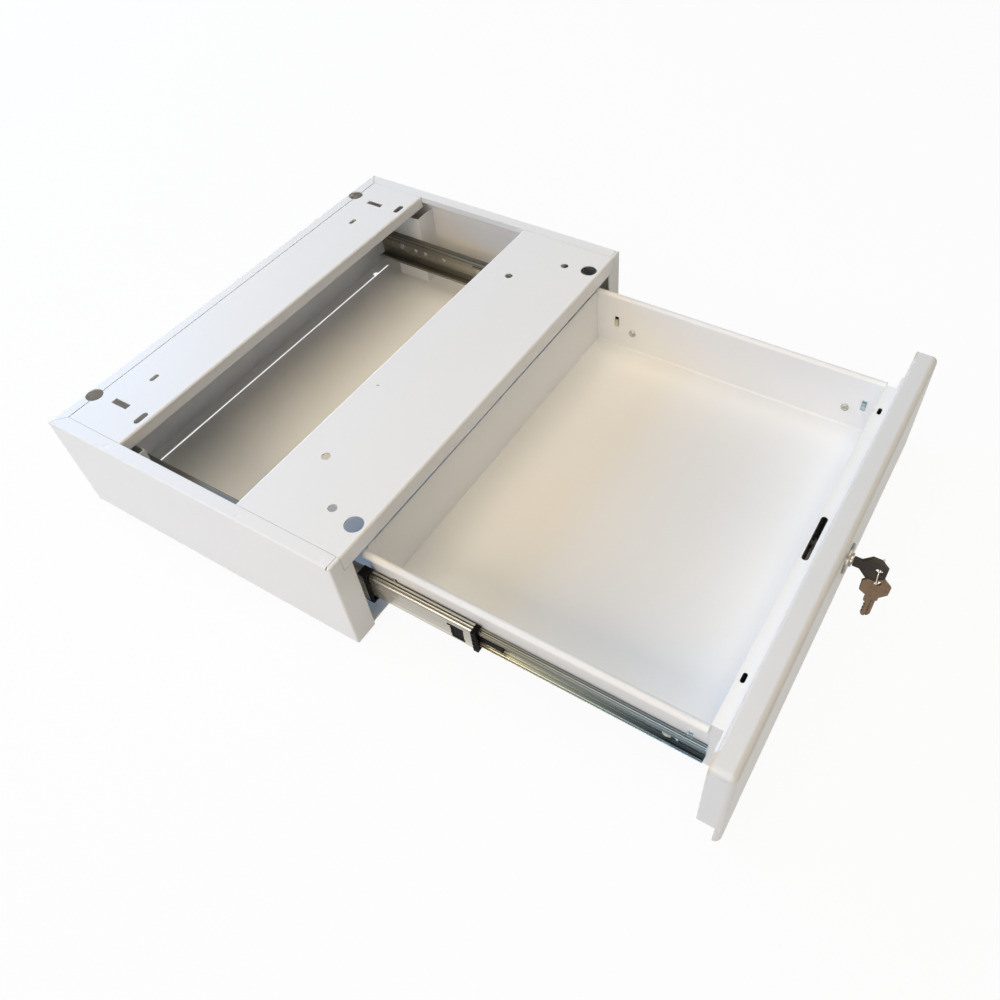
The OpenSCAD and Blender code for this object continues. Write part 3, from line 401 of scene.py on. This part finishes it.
def leave():
    bpy.ops.object.mode_set(mode="OBJECT")


def clear():
    if bpy.context.object and bpy.context.object.mode != "OBJECT":
        leave()
    bpy.ops.object.select_all(action="DESELECT")


def hold(*held):
    clear()
    for piece in held:
        piece.select_set(True)
    bpy.context.view_layer.objects.active = held[0]


def settle(piece):
    hold(piece)
    bpy.ops.object.transform_apply(location=True, rotation=True, scale=True)
    return piece


def block(name, low, high):
    clear()
    low, high = mm(*low), mm(*high)
    bpy.ops.mesh.primitive_cube_add(size=1, location=(low + high) / 2)
    piece = bpy.context.object
    piece.name = name
    piece.scale = high - low
    return settle(piece)


def rod(name, start, end, radius, corners=32):
    clear()
    start, end = mm(*start), mm(*end)
    bpy.ops.mesh.primitive_cylinder_add(vertices=corners, radius=radius * 0.001, depth=(end - start).length,
                                        location=(start + end) / 2)
    piece = bpy.context.object
    piece.name = name
    piece.rotation_euler = (end - start).to_track_quat("Z", "Y").to_euler()
    return settle(piece)


# Opens the piece in edit mode with all of it chosen
def openWhole(piece):
    hold(piece)
    bpy.ops.object.mode_set(mode="EDIT")
    bpy.ops.mesh.select_all(action="SELECT")


# Leaves the piece in edit mode, with the faces, edges or corners chosen whose place and direction pass
def pick(piece, kind, test):
    if piece.mode != "EDIT":
        hold(piece)
        bpy.ops.object.mode_set(mode="EDIT")
    bpy.ops.mesh.select_mode(type=kind)
    bpy.ops.mesh.select_all(action="DESELECT")
    leave()
    mesh = piece.data
    if kind == "EDGE":
        for edge in mesh.edges:
            a, b = (mesh.vertices[i].co for i in edge.vertices)
            edge.select = bool(test((a + b) * 500, (b - a).normalized()))
    else:
        for part in mesh.polygons if kind == "FACE" else mesh.vertices:
            place = part.center if kind == "FACE" else part.co
            part.select = bool(test(place * 1000, part.normal))
    bpy.ops.object.mode_set(mode="EDIT")


def near(a, b, slack=0.01):
    return abs(a - b) < slack


def push(*move):
    bpy.ops.mesh.extrude_region_move(TRANSFORM_OT_translate={"value": mm(*move)})


def inset(width, **how):
    bpy.ops.mesh.inset(thickness=width * 0.001, **how)


def bevel(width, segments, **how):
    bpy.ops.mesh.bevel(offset=width * 0.001, segments=segments, affect="EDGES", **how)


def dropFaces():
    bpy.ops.mesh.delete(type="FACE")


# Adds edges where a plane meets the piece
def split(piece, place, normal):
    pick(piece, "FACE", lambda at, facing: True)
    bpy.ops.mesh.bisect(plane_co=mm(*place), plane_no=normal)


def modify(piece, kind, **settings):
    hold(piece)
    modifier = piece.modifiers.new(kind, kind)
    for key, value in settings.items():
        setattr(modifier, key, value)
    bpy.ops.object.modifier_apply(modifier=modifier.name)


# Merges doubles and, where asked, turns the faces outwards
def tidy(piece, merge=0.002, outwards=True):
    openWhole(piece)
    bpy.ops.mesh.remove_doubles(threshold=merge * 0.001)
    if outwards:
        bpy.ops.mesh.normals_make_consistent(inside=False)
    leave()


# Small round edges, and smooth shading that keeps flats flat
def soften(piece, width, segments=2, angle=30):
    if width:
        modify(piece, "BEVEL", width=width * 0.001, segments=segments, limit_method="ANGLE",
               angle_limit=radians(angle), use_clamp_overlap=True)
    hold(piece)
    bpy.ops.object.shade_smooth_by_angle(angle=radians(50))
    modify(piece, "WEIGHTED_NORMAL", keep_sharp=True)


def cutAway(piece, *cutters):
    for cutter in cutters:
        modify(piece, "BOOLEAN", operation="DIFFERENCE", object=cutter, solver="EXACT")
        bpy.data.objects.remove(cutter)


def joined(name, *held):
    hold(*held)
    bpy.ops.object.join()
    held[0].name = name
    return held[0]


def copied(piece, name, move=(0, 0, 0), mirror=False):
    hold(piece)
    bpy.ops.object.duplicate()
    other = bpy.context.object
    other.name = name
    other.location = mm(*move)
    if mirror:
        other.scale = (-1, 1, 1)
    settle(other)
    if mirror:
        tidy(other, 0.0005)
        soften(other, 0)
    return other


def dress(piece, material, body, slot, *replaced):
    piece.data.materials.clear()
    piece.data.materials.append(material)
    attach(piece, body)
    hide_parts(*replaced)


# A copy of CAD nodes, made one sheet: loose triangles merged, flats joined and edges rounded.
# Where nodes touch at a seam, given by its y, the hidden faces go
def softened(name, sources, width=0.25, merge=0.01, seams=(), seamsAbove=-2):
    hold(*(nodes[source] for source in sources))
    bpy.ops.object.duplicate()
    if len(sources) > 1:
        bpy.ops.object.join()
    piece = bpy.context.object
    piece.name = name
    piece.parent = None
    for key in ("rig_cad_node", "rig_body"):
        if key in piece:
            del piece[key]
    bpy.ops.mesh.customdata_custom_splitnormals_clear()
    tidy(piece, merge, outwards=False)
    for seam in seams:
        pick(piece, "FACE", lambda at, facing: near(at.y, seam) and abs(facing.y) > 0.9 and at.z > seamsAbove)
        dropFaces()
        leave()
    openWhole(piece)
    bpy.ops.mesh.dissolve_limited(angle_limit=radians(0.5))
    leave()
    soften(piece, width)
    return piece


# A CAD node's own shape with its edges rounded, in place of the node
def carry(name, node, material, body, slot, width=0.25, merge=0.01):
    dress(softened(name, [node], width, merge), material, body, slot, node)


# Sheet rolled into a section: corners in (x, z), run from y0 to y1, thickness split about the line.
# Only turns over sharpTurn degrees are rounded
def rolled(name, corners, y0, y1, thickness, radius, sharpTurn=40):
    clear()
    bpy.ops.mesh.primitive_plane_add(size=0.001, location=mm(corners[0][0], y0, corners[0][1]))
    piece = bpy.context.object
    piece.name = name
    bpy.ops.object.mode_set(mode="EDIT")
    bpy.ops.mesh.select_mode(type="VERT")
    bpy.ops.mesh.select_all(action="SELECT")
    bpy.ops.mesh.merge(type="CENTER")
    for (x0, z0), (x1, z1) in zip(corners, corners[1:]):
        push(x1 - x0, 0, z1 - z0)
    bpy.ops.mesh.select_all(action="SELECT")
    push(0, y1 - y0, 0)
    leave()
    settle(piece)
    line = [Vector(corner) for corner in corners]
    bends = [b for a, b, c in zip(line, line[1:], line[2:]) if (b - a).angle(c - b) > radians(sharpTurn)]
    pick(piece, "EDGE", lambda at, along: abs(along.y) > 0.9
         and any(near(at.x, bend.x) and near(at.z, bend.y) for bend in bends))
    bevel(radius, 4, clamp_overlap=True)
    leave()
    modify(piece, "SOLIDIFY", thickness=thickness * 0.001, offset=0, use_even_offset=True)
    tidy(piece, 0.0005)
    return piece


print("casing")
casingLook = {"shellRound": 0.3, "shellMerge": 0.03, "plateRound": 0.25, "plateSeams": (-36, 71)}
carry("casingShell", "casing_shell", casingCoat, "casing", "white_coat", casingLook["shellRound"],
      casingLook["shellMerge"])
plateNodes = ["front_top_plate", "front_plate_flange", "opening_flange"]
frontPlate = softened("frontTopPlate", plateNodes, casingLook["plateRound"], seams=casingLook["plateSeams"])
dress(frontPlate, casingCoat, "casing", "white_coat", *plateNodes)
carry("rearTopPlate", "rear_top_plate", casingCoat, "casing", "white_coat")
carry("bottomPanel", "bottom_panel", whiteCoat, "casing", "white_coat")
for end in ("front", "rear"):
    for side in ("left", "right"):
        carry(f"{end}Bracket{side.title()}", f"{end}_bracket_{side}", whiteCoat, "casing", "white_coat")


# The slides are modelled on the right and mirrored. Their x is given from the drawer's wall outwards, their
# z from the slides' middle, and y is the frame's own
print("slides")
slideLook = {"wall": 191.3, "middle": -64, "steel": 1.1, "bend": 0.7, "round": 0.12, "lap": 0.1}
wall, level, lap = slideLook["wall"], slideLook["middle"], slideLook["lap"]


def rail(name, part):
    line = [(wall + u, level + v) for u, v in part["line"]]
    return rolled(name, line, *part["run"], slideLook["steel"], slideLook["bend"])


def drilled(piece, u, radius, backs, reach=3):
    for back in backs:
        cutAway(piece, rod("drill", (wall + u - reach, back, level), (wall + u + reach, back, level), radius))


# Copies a right-hand piece to both sides, and takes the place of both CAD nodes
def bothSides(piece, name, material, body, slot, node):
    for side in ("left", "right"):
        one = copied(piece, name + side.title(), mirror=side == "left")
        dress(one, material, body.replace("*", side), slot, node.replace("*", side))
    bpy.data.objects.remove(piece)


outerLook = {
    "run": (-35, 270), "web": 12.15,
    "line": [(3.15, 14.8), (3.15, 17.45), (12.15, 17.45), (12.15, -17.45), (3.15, -17.45), (3.15, -14.8)],
    "holes": (35.2, 117.5, 178.5), "hole": 2.75,
    "screws": (-5, 239.5), "screwHole": 2.05,
}
detentLook = {"x": (10.8, 11.7), "y": (189, 235), "half": 8, "corner": 2, "rim": 1.6, "proud": 0.35,
              "square": (205, 2.6), "round": (219, 2.7), "through": (9, 14)}
rivetLook = {"y": 256, "up": 1, "x": (10.6, 11.65), "radius": 3.2, "round": 0.7, "rim": 0.8, "sunk": 0.5}

outerRail = rail("outerRail", outerLook)
drilled(outerRail, outerLook["web"], outerLook["hole"], outerLook["holes"])
drilled(outerRail, outerLook["web"], outerLook["screwHole"], outerLook["screws"])

front, back = detentLook["y"]
plate = block("detentPlate", (wall + detentLook["x"][0], front, level - detentLook["half"]),
              (wall + detentLook["x"][1], back, level + detentLook["half"]))
pick(plate, "EDGE", lambda at, along: abs(along.x) > 0.9)
bevel(detentLook["corner"], 3)
pick(plate, "FACE", lambda at, facing: facing.x < -0.9)  # its rim stands a little proud
inset(detentLook["rim"])
push(detentLook["proud"], 0, 0)
leave()


def detentCutters():
    insideX, outsideX = (wall + reach for reach in detentLook["through"])
    (squareAt, half), (roundAt, radius) = detentLook["square"], detentLook["round"]
    return (block("square", (insideX, squareAt - half, level - half),
                  (outsideX, squareAt + half, level + half)),
            rod("round", (insideX, roundAt, level), (outsideX, roundAt, level), radius))


cutAway(plate, *detentCutters())
cutAway(outerRail, *detentCutters())

rivetAt = (rivetLook["y"], level + rivetLook["up"])
rivet = rod("rivet", (wall + rivetLook["x"][0], *rivetAt), (wall + rivetLook["x"][1], *rivetAt),
            rivetLook["radius"], 24)
pick(rivet, "FACE", lambda at, facing: facing.x < -0.9)
bevel(rivetLook["round"], 3)
pick(rivet, "FACE", lambda at, facing: facing.x < -0.9)
inset(rivetLook["rim"])
push(rivetLook["sunk"], 0, 0)
leave()
outerRail = joined("outerRail", outerRail, plate, rivet)
soften(outerRail, slideLook["round"])
bothSides(outerRail, "outerSlide", zincOuterPaintedLight, "casing", "zinc", "outer_slide_*")

middleLook = {
    "run": (-140.1, 129.9), "web": 9.15,
    "line": [(1.4, 13.05), (4.6, 13.05), (5.3, 12.6), (6.5, 12.6), (7.3, 13.05), (8.75, 12.4), (8.75, 6.4),
             (9.15, 5.2), (9.15, -5.2), (8.75, -6.4), (8.75, -12.4), (7.3, -13.05), (6.5, -12.6),
             (5.3, -12.6), (4.6, -13.05), (1.4, -13.05)],
    "holes": (69.9,), "hole": 3.5,
    "window": (-131.8, -119.0, -10, 8), "windowX": (8.3, 12),
    "spur": (3, 2.5),  # length and height
}
middleRail = rail("middleRail", middleLook)
front, back, low, high = middleLook["window"]
insideX, outsideX = (wall + reach for reach in middleLook["windowX"])
spurLong, spurHigh = middleLook["spur"]
cutAway(middleRail, block("window", (insideX, front, level + low), (outsideX, back, level + high)),
        block("spur", (insideX, back - 1, level + high - spurHigh),
              (outsideX, back + spurLong, level + high)))
drilled(middleRail, middleLook["web"], middleLook["hole"], middleLook["holes"])
soften(middleRail, slideLook["round"])
bothSides(middleRail, "middleSlide", zincMiddlePaintedLight, "middle_*", "zinc", "middle_slide_*")

# Black clip: a cap over the middle rail's end, with ribs, and a pad with a tab that fills the window
clipLook = {
    "x": (1.4, 10.3), "y": (-144.5, -139.9), "high": 14.0, "wall": 0.6, "lip": 2.2, "round": 0.15,
    "padX": (8.55, 9.55), "padRoom": (0.15, 0.2), "padRim": 1.2, "padSunk": 0.4,
    "tabX": (8.55, 9.5), "tabLong": 2.8, "tabZ": (2.3, 0.2),
    "ribs": (-9, -3.5, 2, 7.5), "ribY": (-143.6, -140.3), "ribHigh": 1.6, "ribProud": 0.5, "ribRound": 0.5,
}
cap = block("cap", (wall + clipLook["x"][0], clipLook["y"][0], level - clipLook["high"]),
            (wall + clipLook["x"][1], clipLook["y"][1], level + clipLook["high"]))
pick(cap, "FACE", lambda at, facing: facing.x < -0.9 or facing.y > 0.9)
dropFaces()
pick(cap, "FACE", lambda at, facing: facing.y < -0.9)
inset(clipLook["lip"], use_boundary=False)
dropFaces()
leave()
modify(cap, "SOLIDIFY", thickness=clipLook["wall"] * 0.001, offset=-1, use_even_offset=True)
tidy(cap)

roomY, roomZ = clipLook["padRoom"]
pad = block("pad", (wall + clipLook["padX"][0], front + roomY, level + low + roomZ),
            (wall + clipLook["padX"][1], back - roomY, level + high - roomZ))
pick(pad, "FACE", lambda at, facing: facing.x > 0.9)
inset(clipLook["padRim"])
push(-clipLook["padSunk"], 0, 0)
leave()
tabLow, tabHigh = (level + high - down for down in clipLook["tabZ"])
tab = block("tab", (wall + clipLook["tabX"][0], back, tabLow),
            (wall + clipLook["tabX"][1], back + clipLook["tabLong"], tabHigh))

capSide = wall + clipLook["x"][1]
ribs = [block("rib", (capSide - lap, clipLook["ribY"][0], level + up),
              (capSide + clipLook["ribProud"], clipLook["ribY"][1], level + up + clipLook["ribHigh"]))
        for up in clipLook["ribs"]]
for rib in ribs:
    pick(rib, "EDGE", lambda at, along: abs(along.y) > 0.9 and at.x > capSide)
    bevel(clipLook["ribRound"], 2)
    leave()
clip = joined("clip", cap, pad, tab, *ribs)
soften(clip, clipLook["round"])
bothSides(clip, "middleClip", blackPlastic, "middle_*", "black_plastic", "middle_clip_*")

innerLook = {
    "run": (-337.4, -51.4), "web": 0.55, "round": 0.1,
    "line": [(6.8, 9.45), (5.3, 9.45), (4.1, 8.95), (2.9, 9.45), (0.55, 9.45), (0.55, -9.45), (2.9, -9.45),
             (4.1, -8.95), (5.3, -9.45), (6.8, -9.45)],
    "holes": (-277.3, -227.3), "hole": 2.25,
    "screws": (-307, -77), "screwHole": 2.05,
}
hookLook = {"y": (-323.2, -58.2), "x": (-2.3, 1.0), "half": 1.9, "z": (4.6, 8.8), "behind": -1.3,
            "turnUp": 3.5}
pinLook = {"y": -126.4, "x": (1.05, 5.1), "radius": 1.7, "neck": 0.01, "head": 1.5, "headHigh": 0.5}
lanceLook = {"x": (1.0, 2.1), "y": (-318, -310.5), "z": (1.5, 5.5), "bent": (3.0, 1.5, 0)}

innerRail = rail("innerRail", innerLook)
drilled(innerRail, innerLook["web"], innerLook["hole"], innerLook["holes"])
drilled(innerRail, innerLook["web"], innerLook["screwHole"], innerLook["screws"])

parts = []
behind = wall + hookLook["behind"]
for back in hookLook["y"]:  # tongue through the drawer's wall, turned up behind it
    hook = block("hook", (wall + hookLook["x"][0], back - hookLook["half"], level + hookLook["z"][0]),
                 (wall + hookLook["x"][1], back + hookLook["half"], level + hookLook["z"][1]))
    split(hook, (behind, 0, 0), (1, 0, 0))
    pick(hook, "FACE", lambda at, facing: facing.z > 0.9 and at.x < behind)
    push(0, 0, hookLook["turnUp"])
    leave()
    parts.append(hook)

pinBack, pinEnd = pinLook["y"], wall + pinLook["x"][1]
pin = rod("pin", (wall + pinLook["x"][0], pinBack, level), (pinEnd, pinBack, level), pinLook["radius"])
pick(pin, "FACE", lambda at, facing: facing.x > 0.9)
push(pinLook["neck"], 0, 0)
bpy.ops.transform.resize(value=(1, pinLook["head"], pinLook["head"]),
                         center_override=mm(pinEnd, pinBack, level))
push(pinLook["headHigh"], 0, 0)
leave()
parts.append(pin)

# A small tab lanced out of the web, bent outwards at its front
(x0, x1), (y0, y1), (z0, z1) = lanceLook["x"], lanceLook["y"], lanceLook["z"]
lance = block("lance", (wall + x0, y0, level + z0), (wall + x1, y1, level + z1))
pick(lance, "VERT", lambda at, facing: at.y < y0 + 1 and at.x > wall + x1 - 0.1)
bpy.ops.transform.translate(value=mm(*lanceLook["bent"]))
leave()
parts.append(lance)

innerRail = joined("innerRail", innerRail, *parts)
soften(innerRail, innerLook["round"])
bothSides(innerRail, "innerSlide", zincInnerPaintedLight, "drawer", "zinc", "inner_slide_*")

plasticRound = 0.35
for side in ("left", "right"):
    carry("outerBuffer" + side.title(), "outer_buffer_" + side, blackPlastic, "casing", "black_plastic",
          plasticRound)
    carry("releaseLever" + side.title(), "release_lever_" + side, blackPlastic, "lever_" + side,
          "black_plastic", plasticRound)


# Each pair of slides has screws of one kind: made whole once, along +X, and copied
print("screws")
screwLook = {"head": 3.8, "headRound": 0.8, "shank": 2, "arm": 4.2, "slit": 0.85, "deep": 0.9, "nut": 4.04,
             "floorLeft": 0.25, "round": 0.15}
screwSets = {
    "drawerScrew": {"body": "drawer", "node": "drawer_screws", "backs": innerLook["screws"],
                    "x": 188.5, "headHigh": 1.8, "nutX": 192.4, "nutHigh": 2.4, "end": 195.4},
    "slideScrew": {"body": "casing", "node": "slide_screws", "backs": outerLook["screws"],
                   "x": 202.0, "headHigh": 0.9, "nutX": 205.2, "nutHigh": 2.4, "end": 208.6},
}


# A pan head with a cross in it, its shank and its nut
def screw(name, part):
    x, headHigh, nutX = part["x"], part["headHigh"], part["nutX"]
    head = rod(name, (x, 0, level), (x + headHigh, 0, level), screwLook["head"], 32)
    pick(head, "FACE", lambda at, facing: facing.x < -0.9)
    bevel(min(screwLook["headRound"], headHigh * 0.8), 4)
    leave()
    half, slit = screwLook["arm"] / 2, screwLook["slit"] / 2
    deep = min(screwLook["deep"], headHigh - screwLook["floorLeft"])
    cutAway(head, block("cut", (x - 1, -half, level - slit), (x + deep, half, level + slit)),
            block("cut", (x - 1, -slit, level - half), (x + deep, slit, level + half)))
    shank = rod("shank", (x + headHigh - lap, 0, level), (part["end"], 0, level), screwLook["shank"], 20)
    nut = rod("nut", (nutX, 0, level), (nutX + part["nutHigh"], 0, level), screwLook["nut"], 6)
    whole = joined(name, head, shank, nut)
    soften(whole, screwLook["round"])
    return whole


for name, part in screwSets.items():
    first = screw(name, part)
    made = []
    for back in part["backs"]:
        for side in ("Left", "Right"):
            made.append(copied(first, "screw", (0, back, 0), side == "Left"))
    bpy.data.objects.remove(first)
    dress(joined(name + "s", *made), zincPart, part["body"], "zinc", part["node"])


print("drawer")
drawerRound = 0.2
carry("tray", "drawer_tray", whiteCoat, "drawer", "white_coat", drawerRound)
carry("innerFront", "inner_front", whiteCoat, "drawer", "white_coat", drawerRound)

# Pressed panel: a pan with ball corners, a lip behind its top edge, a foot and short side returns
panelLook = {
    "low": (-229, -369, -115.5), "high": (229, -349.2, -3.5), "steel": 1.2,
    "corner": 5.5, "fold": 2.8, "return": 88, "round": 0.25,
    "lipHalf": 214, "lipDrop": 19.3, "footHalf": 191.3, "footDeep": 8,
    "lock": (3, -43), "lockHole": 9.55,
    "seamX": (231, 228.4), "seamY": (5.5, 12), "seamDown": (5.9, 5.5),
}
low, high, corner = panelLook["low"], panelLook["high"], panelLook["corner"]
lipHalf, footHalf = panelLook["lipHalf"], panelLook["footHalf"]
returnEnd = high[2] - panelLook["return"]
panel = block("frontPanel", low, high)
pick(panel, "FACE", lambda at, facing: facing.y > 0.9 or facing.z < -0.9)
dropFaces()
for half in (lipHalf, footHalf):  # where the lip and the foot end
    for side in (-1, 1):
        split(panel, (side * half, 0, 0), (1, 0, 0))
pick(panel, "EDGE", lambda at, along: abs(along.x) > 0.9 and near(at.y, high[1]) and abs(at.x) < lipHalf)
push(0, 0, -panelLook["lipDrop"])
pick(panel, "EDGE", lambda at, along: abs(along.x) > 0.9 and near(at.z, low[2]) and abs(at.x) < footHalf)
push(0, panelLook["footDeep"], 0)


def outerEdge(at, along):
    atFront, atTop = near(at.y, low[1], 0.1), near(at.z, high[2], 0.1)
    atSide = near(abs(at.x), high[0], 0.1)
    return atFront and atTop or atSide and (abs(along.z) > 0.9 and atFront or abs(along.y) > 0.9 and atTop)


def foldedEdge(at, along):
    lip = near(at.y, high[1]) and near(at.z, high[2]) and abs(at.x) < lipHalf
    foot = near(at.y, low[1]) and near(at.z, low[2]) and abs(at.x) < footHalf
    return abs(along.x) > 0.9 and (lip or foot)


pick(panel, "EDGE", outerEdge)
bevel(corner, 8)
pick(panel, "EDGE", foldedEdge)
bevel(panelLook["fold"], 5)
split(panel, (0, 0, returnEnd), (0, 0, 1))
pick(panel, "FACE", lambda at, facing: abs(facing.x) > 0.9 and at.z < returnEnd and at.y > low[1] + corner)
dropFaces()
leave()
modify(panel, "SOLIDIFY", thickness=panelLook["steel"] * 0.001, offset=-1, use_even_offset=True)
tidy(panel)
lockX, lockZ = panelLook["lock"]
cutAway(panel, rod("lockHole", (lockX, low[1] - 2, lockZ), (lockX, low[1] + 4, lockZ),
                   panelLook["lockHole"], 48))
(x0, x1), (y0, y1), (z0, z1) = panelLook["seamX"], panelLook["seamY"], panelLook["seamDown"]
for side in (-1, 1):  # seam between the top's fold and the side's return
    cutAway(panel, block("seam", (side * x0, low[1] + y0, high[2] - z0),
                         (side * x1, low[1] + y1, high[2] - z1)))
soften(panel, panelLook["round"])
dress(panel, panelCoatPaintedShade, "drawer", "white_coat", "fascia")


print("lock and keys")
lockLook = {"round": 0.2, "nutRound": 0.3, "spareRound": 0.15}
carry("lockHousing", "lock_housing", nickel, "drawer", "nickel", lockLook["round"])
carry("lockPlug", "lock_plug", nickel, "plug", "nickel", lockLook["round"])
carry("lockNut", "lock_nut", zincPart, "drawer", "zinc", lockLook["nutRound"])
# the cam takes the painted shade of its dark slot
carry("lockCam", "lock_cam", camSteelPaintedShade, "plug", "zinc", lockLook["round"])
carry("keyBlade", "key_blade", nickel, "key", "nickel", lockLook["round"])

# The key's head: an eight-sided bow with a neck, a raised rim, sunk fields and an eye for the ring
headLook = {
    "low": (1.3, -401.3, -55.8), "high": (4.7, -380, -30.2), "chamfer": 7, "round": 0.3,
    "neck": 6, "neckShare": 10 / 12.2, "rim": 1.5, "sunk": 0.35,  # neckShare: of the end's width
    "eye": (-395, -43), "eyeRadius": 3.2, "eyeOver": 1.3,
}
low, high = headLook["low"], headLook["high"]
middle = [(a + b) / 2 for a, b in zip(low, high)]
head = block("keyHead", low, high)
pick(head, "EDGE", lambda at, along: abs(along.x) > 0.9)
bevel(headLook["chamfer"], 1)
pick(head, "FACE", lambda at, facing: facing.y > 0.9)
bpy.ops.transform.resize(value=(1, 1, headLook["neckShare"]), center_override=mm(middle[0], high[1], lockZ))
push(0, headLook["neck"], 0)
pick(head, "FACE", lambda at, facing: abs(facing.x) > 0.9 and at.y < high[1] - 1)
inset(headLook["rim"], use_individual=True)
for side in (-1, 1):
    pick(head, "FACE", lambda at, facing: facing.x * side > 0.9 and at.y < high[1] - 5
         and near(at.z, lockZ, 1) and near(at.y, middle[1], 1.5))
    push(-side * headLook["sunk"], 0, 0)
leave()
over = headLook["eyeOver"]
cutAway(head, rod("eye", (low[0] - over, *headLook["eye"]), (high[0] + over, *headLook["eye"]),
                  headLook["eyeRadius"], 40))
soften(head, headLook["round"])
dress(head, keyPlastic, "key", "black_plastic", "key_head")

ringLook = {"slim": 0.06}  # leaves room in the spare key's eye
keyRing = softened("keyRing", ["key_ring"], 0)
openWhole(keyRing)
bpy.ops.transform.shrink_fatten(value=-ringLook["slim"] * 0.001)
leave()
dress(keyRing, ringNickel, "ring", "nickel", "key_ring")
carry("spareKey", "spare_key", brass, "spare", "brass", lockLook["spareRound"])

# The CAD nodes' own finishes: only the cam's screw and the ball cages still show, and the cam's screw takes
# the cam's painted shade
slotFinish = {"zinc": zincPart, "white_coat": whiteCoat, "black_plastic": blackPlastic, "nickel": nickel,
              "brass": brass}
for row in frame["record"]["subparts"]:
    shown = nodes[row["node"]].data.materials
    shown.clear()
    shown.append(camSteelPaintedShade if row["node"] == "cam_screw" else slotFinish[row["material_slot"]])


# Soft windows round the room, and a pale floor that is seen as white and keeps the object's shadow
print("light and floor")
floorLook = {"level": -0.1165, "size": 12.0, "tint": (0.82, 0.82, 0.82), "roughness": 0.9, "shadow": 0.06}
lightLook = {
    "dome": (1.0, 0.95, 0.88), "domeStrength": 0.015, "toward": (0, -0.05, 0),
    "windows": {  # place, size, colour, watts
        "backHigh": ((-0.3, 2.6, 1.55), (3.0, 1.4), (0.08, 0.43, 1.0), 48.0),
        "backLow": ((0.3, 2.8, 0.7), (3.0, 0.9), (0.90, 0.935, 1.0), 39.0),
        "leftHigh": ((-2.6, 0.0, 1.7), (2.6, 1.4), (1.0, 0.80, 0.56), 42.0),
        "leftLow": ((-2.8, 0.0, 0.6), (2.6, 0.9), (0.43, 0.66, 1.0), 13.9),
        "top": ((0.0, 0.0, 2.6), (2.4, 2.4), (1.0, 0.895, 0.725), 42.5),
        "frontLow": ((0.2, -2.6, 0.8), (2.4, 0.9), (1.0, 0.82, 0.56), 7.0),
        "rightLow": ((2.8, 0.0, 0.6), (2.6, 0.9), (0.6, 0.8, 1.0), 3.5),
    },
}

world = bpy.data.worlds.new("studio")
world.use_nodes = True
bpy.context.scene.world = world
tree = world.node_tree
dome = tree.nodes["Background"]
dome.inputs["Color"].default_value = (*lightLook["dome"], 1)
dome.inputs["Strength"].default_value = lightLook["domeStrength"]
seen = tree.nodes.new("ShaderNodeBackground")
seen.inputs["Color"].default_value = (1, 1, 1, 1)
path = tree.nodes.new("ShaderNodeLightPath")
rays = path.outputs["Is Camera Ray"]
for other in ("Is Transmission Ray", "Is Glossy Ray"):
    either = tree.nodes.new("ShaderNodeMath")
    either.operation = "MAXIMUM"
    tree.links.new(rays, either.inputs[0])
    tree.links.new(path.outputs[other], either.inputs[1])
    rays = either.outputs[0]
mixer = tree.nodes.new("ShaderNodeMixShader")
tree.links.new(rays, mixer.inputs[0])
tree.links.new(dome.outputs[0], mixer.inputs[1])
tree.links.new(seen.outputs[0], mixer.inputs[2])
tree.links.new(mixer.outputs[0], tree.nodes["World Output"].inputs["Surface"])

for name, (place, size, colour, watts) in lightLook["windows"].items():
    lamp = bpy.data.lights.new(name, "AREA")
    lamp.shape = "RECTANGLE"
    lamp.size, lamp.size_y = size
    lamp.color = colour
    lamp.energy = watts
    window = bpy.data.objects.new(name, lamp)
    bpy.context.scene.collection.objects.link(window)
    toward = (Vector(lightLook["toward"]) - Vector(place)).to_track_quat("-Z", "Y")
    window.matrix_world = Matrix.Translation(place) @ toward.to_matrix().to_4x4()

clear()
bpy.ops.mesh.primitive_plane_add(size=floorLook["size"], location=(0, 0, floorLook["level"]))
floor = bpy.context.object
floor.name = "floor"
f = Finish("paleFloor")
f.set(Base_Color=floorLook["tint"], Roughness=floorLook["roughness"], Specular_IOR_Level=0.0)
glow = f.add("ShaderNodeEmission", None, (1, 1, 1), 1.0)
camRay, glossyRay, transmissionRay = (f.add("ShaderNodeLightPath", out=f"Is {kind} Ray")
                                      for kind in ("Camera", "Glossy", "Transmission"))
shining = camRay.top(glossyRay).top(transmissionRay) * (1 - floorLook["shadow"])
mixed = f.add("ShaderNodeMixShader", None, shining, Wire(f, f.shader.outputs[0]), glow)
f.tree.links.new(mixed.socket, f.tree.nodes["Material Output"].inputs["Surface"])
floor.data.materials.append(f.material)
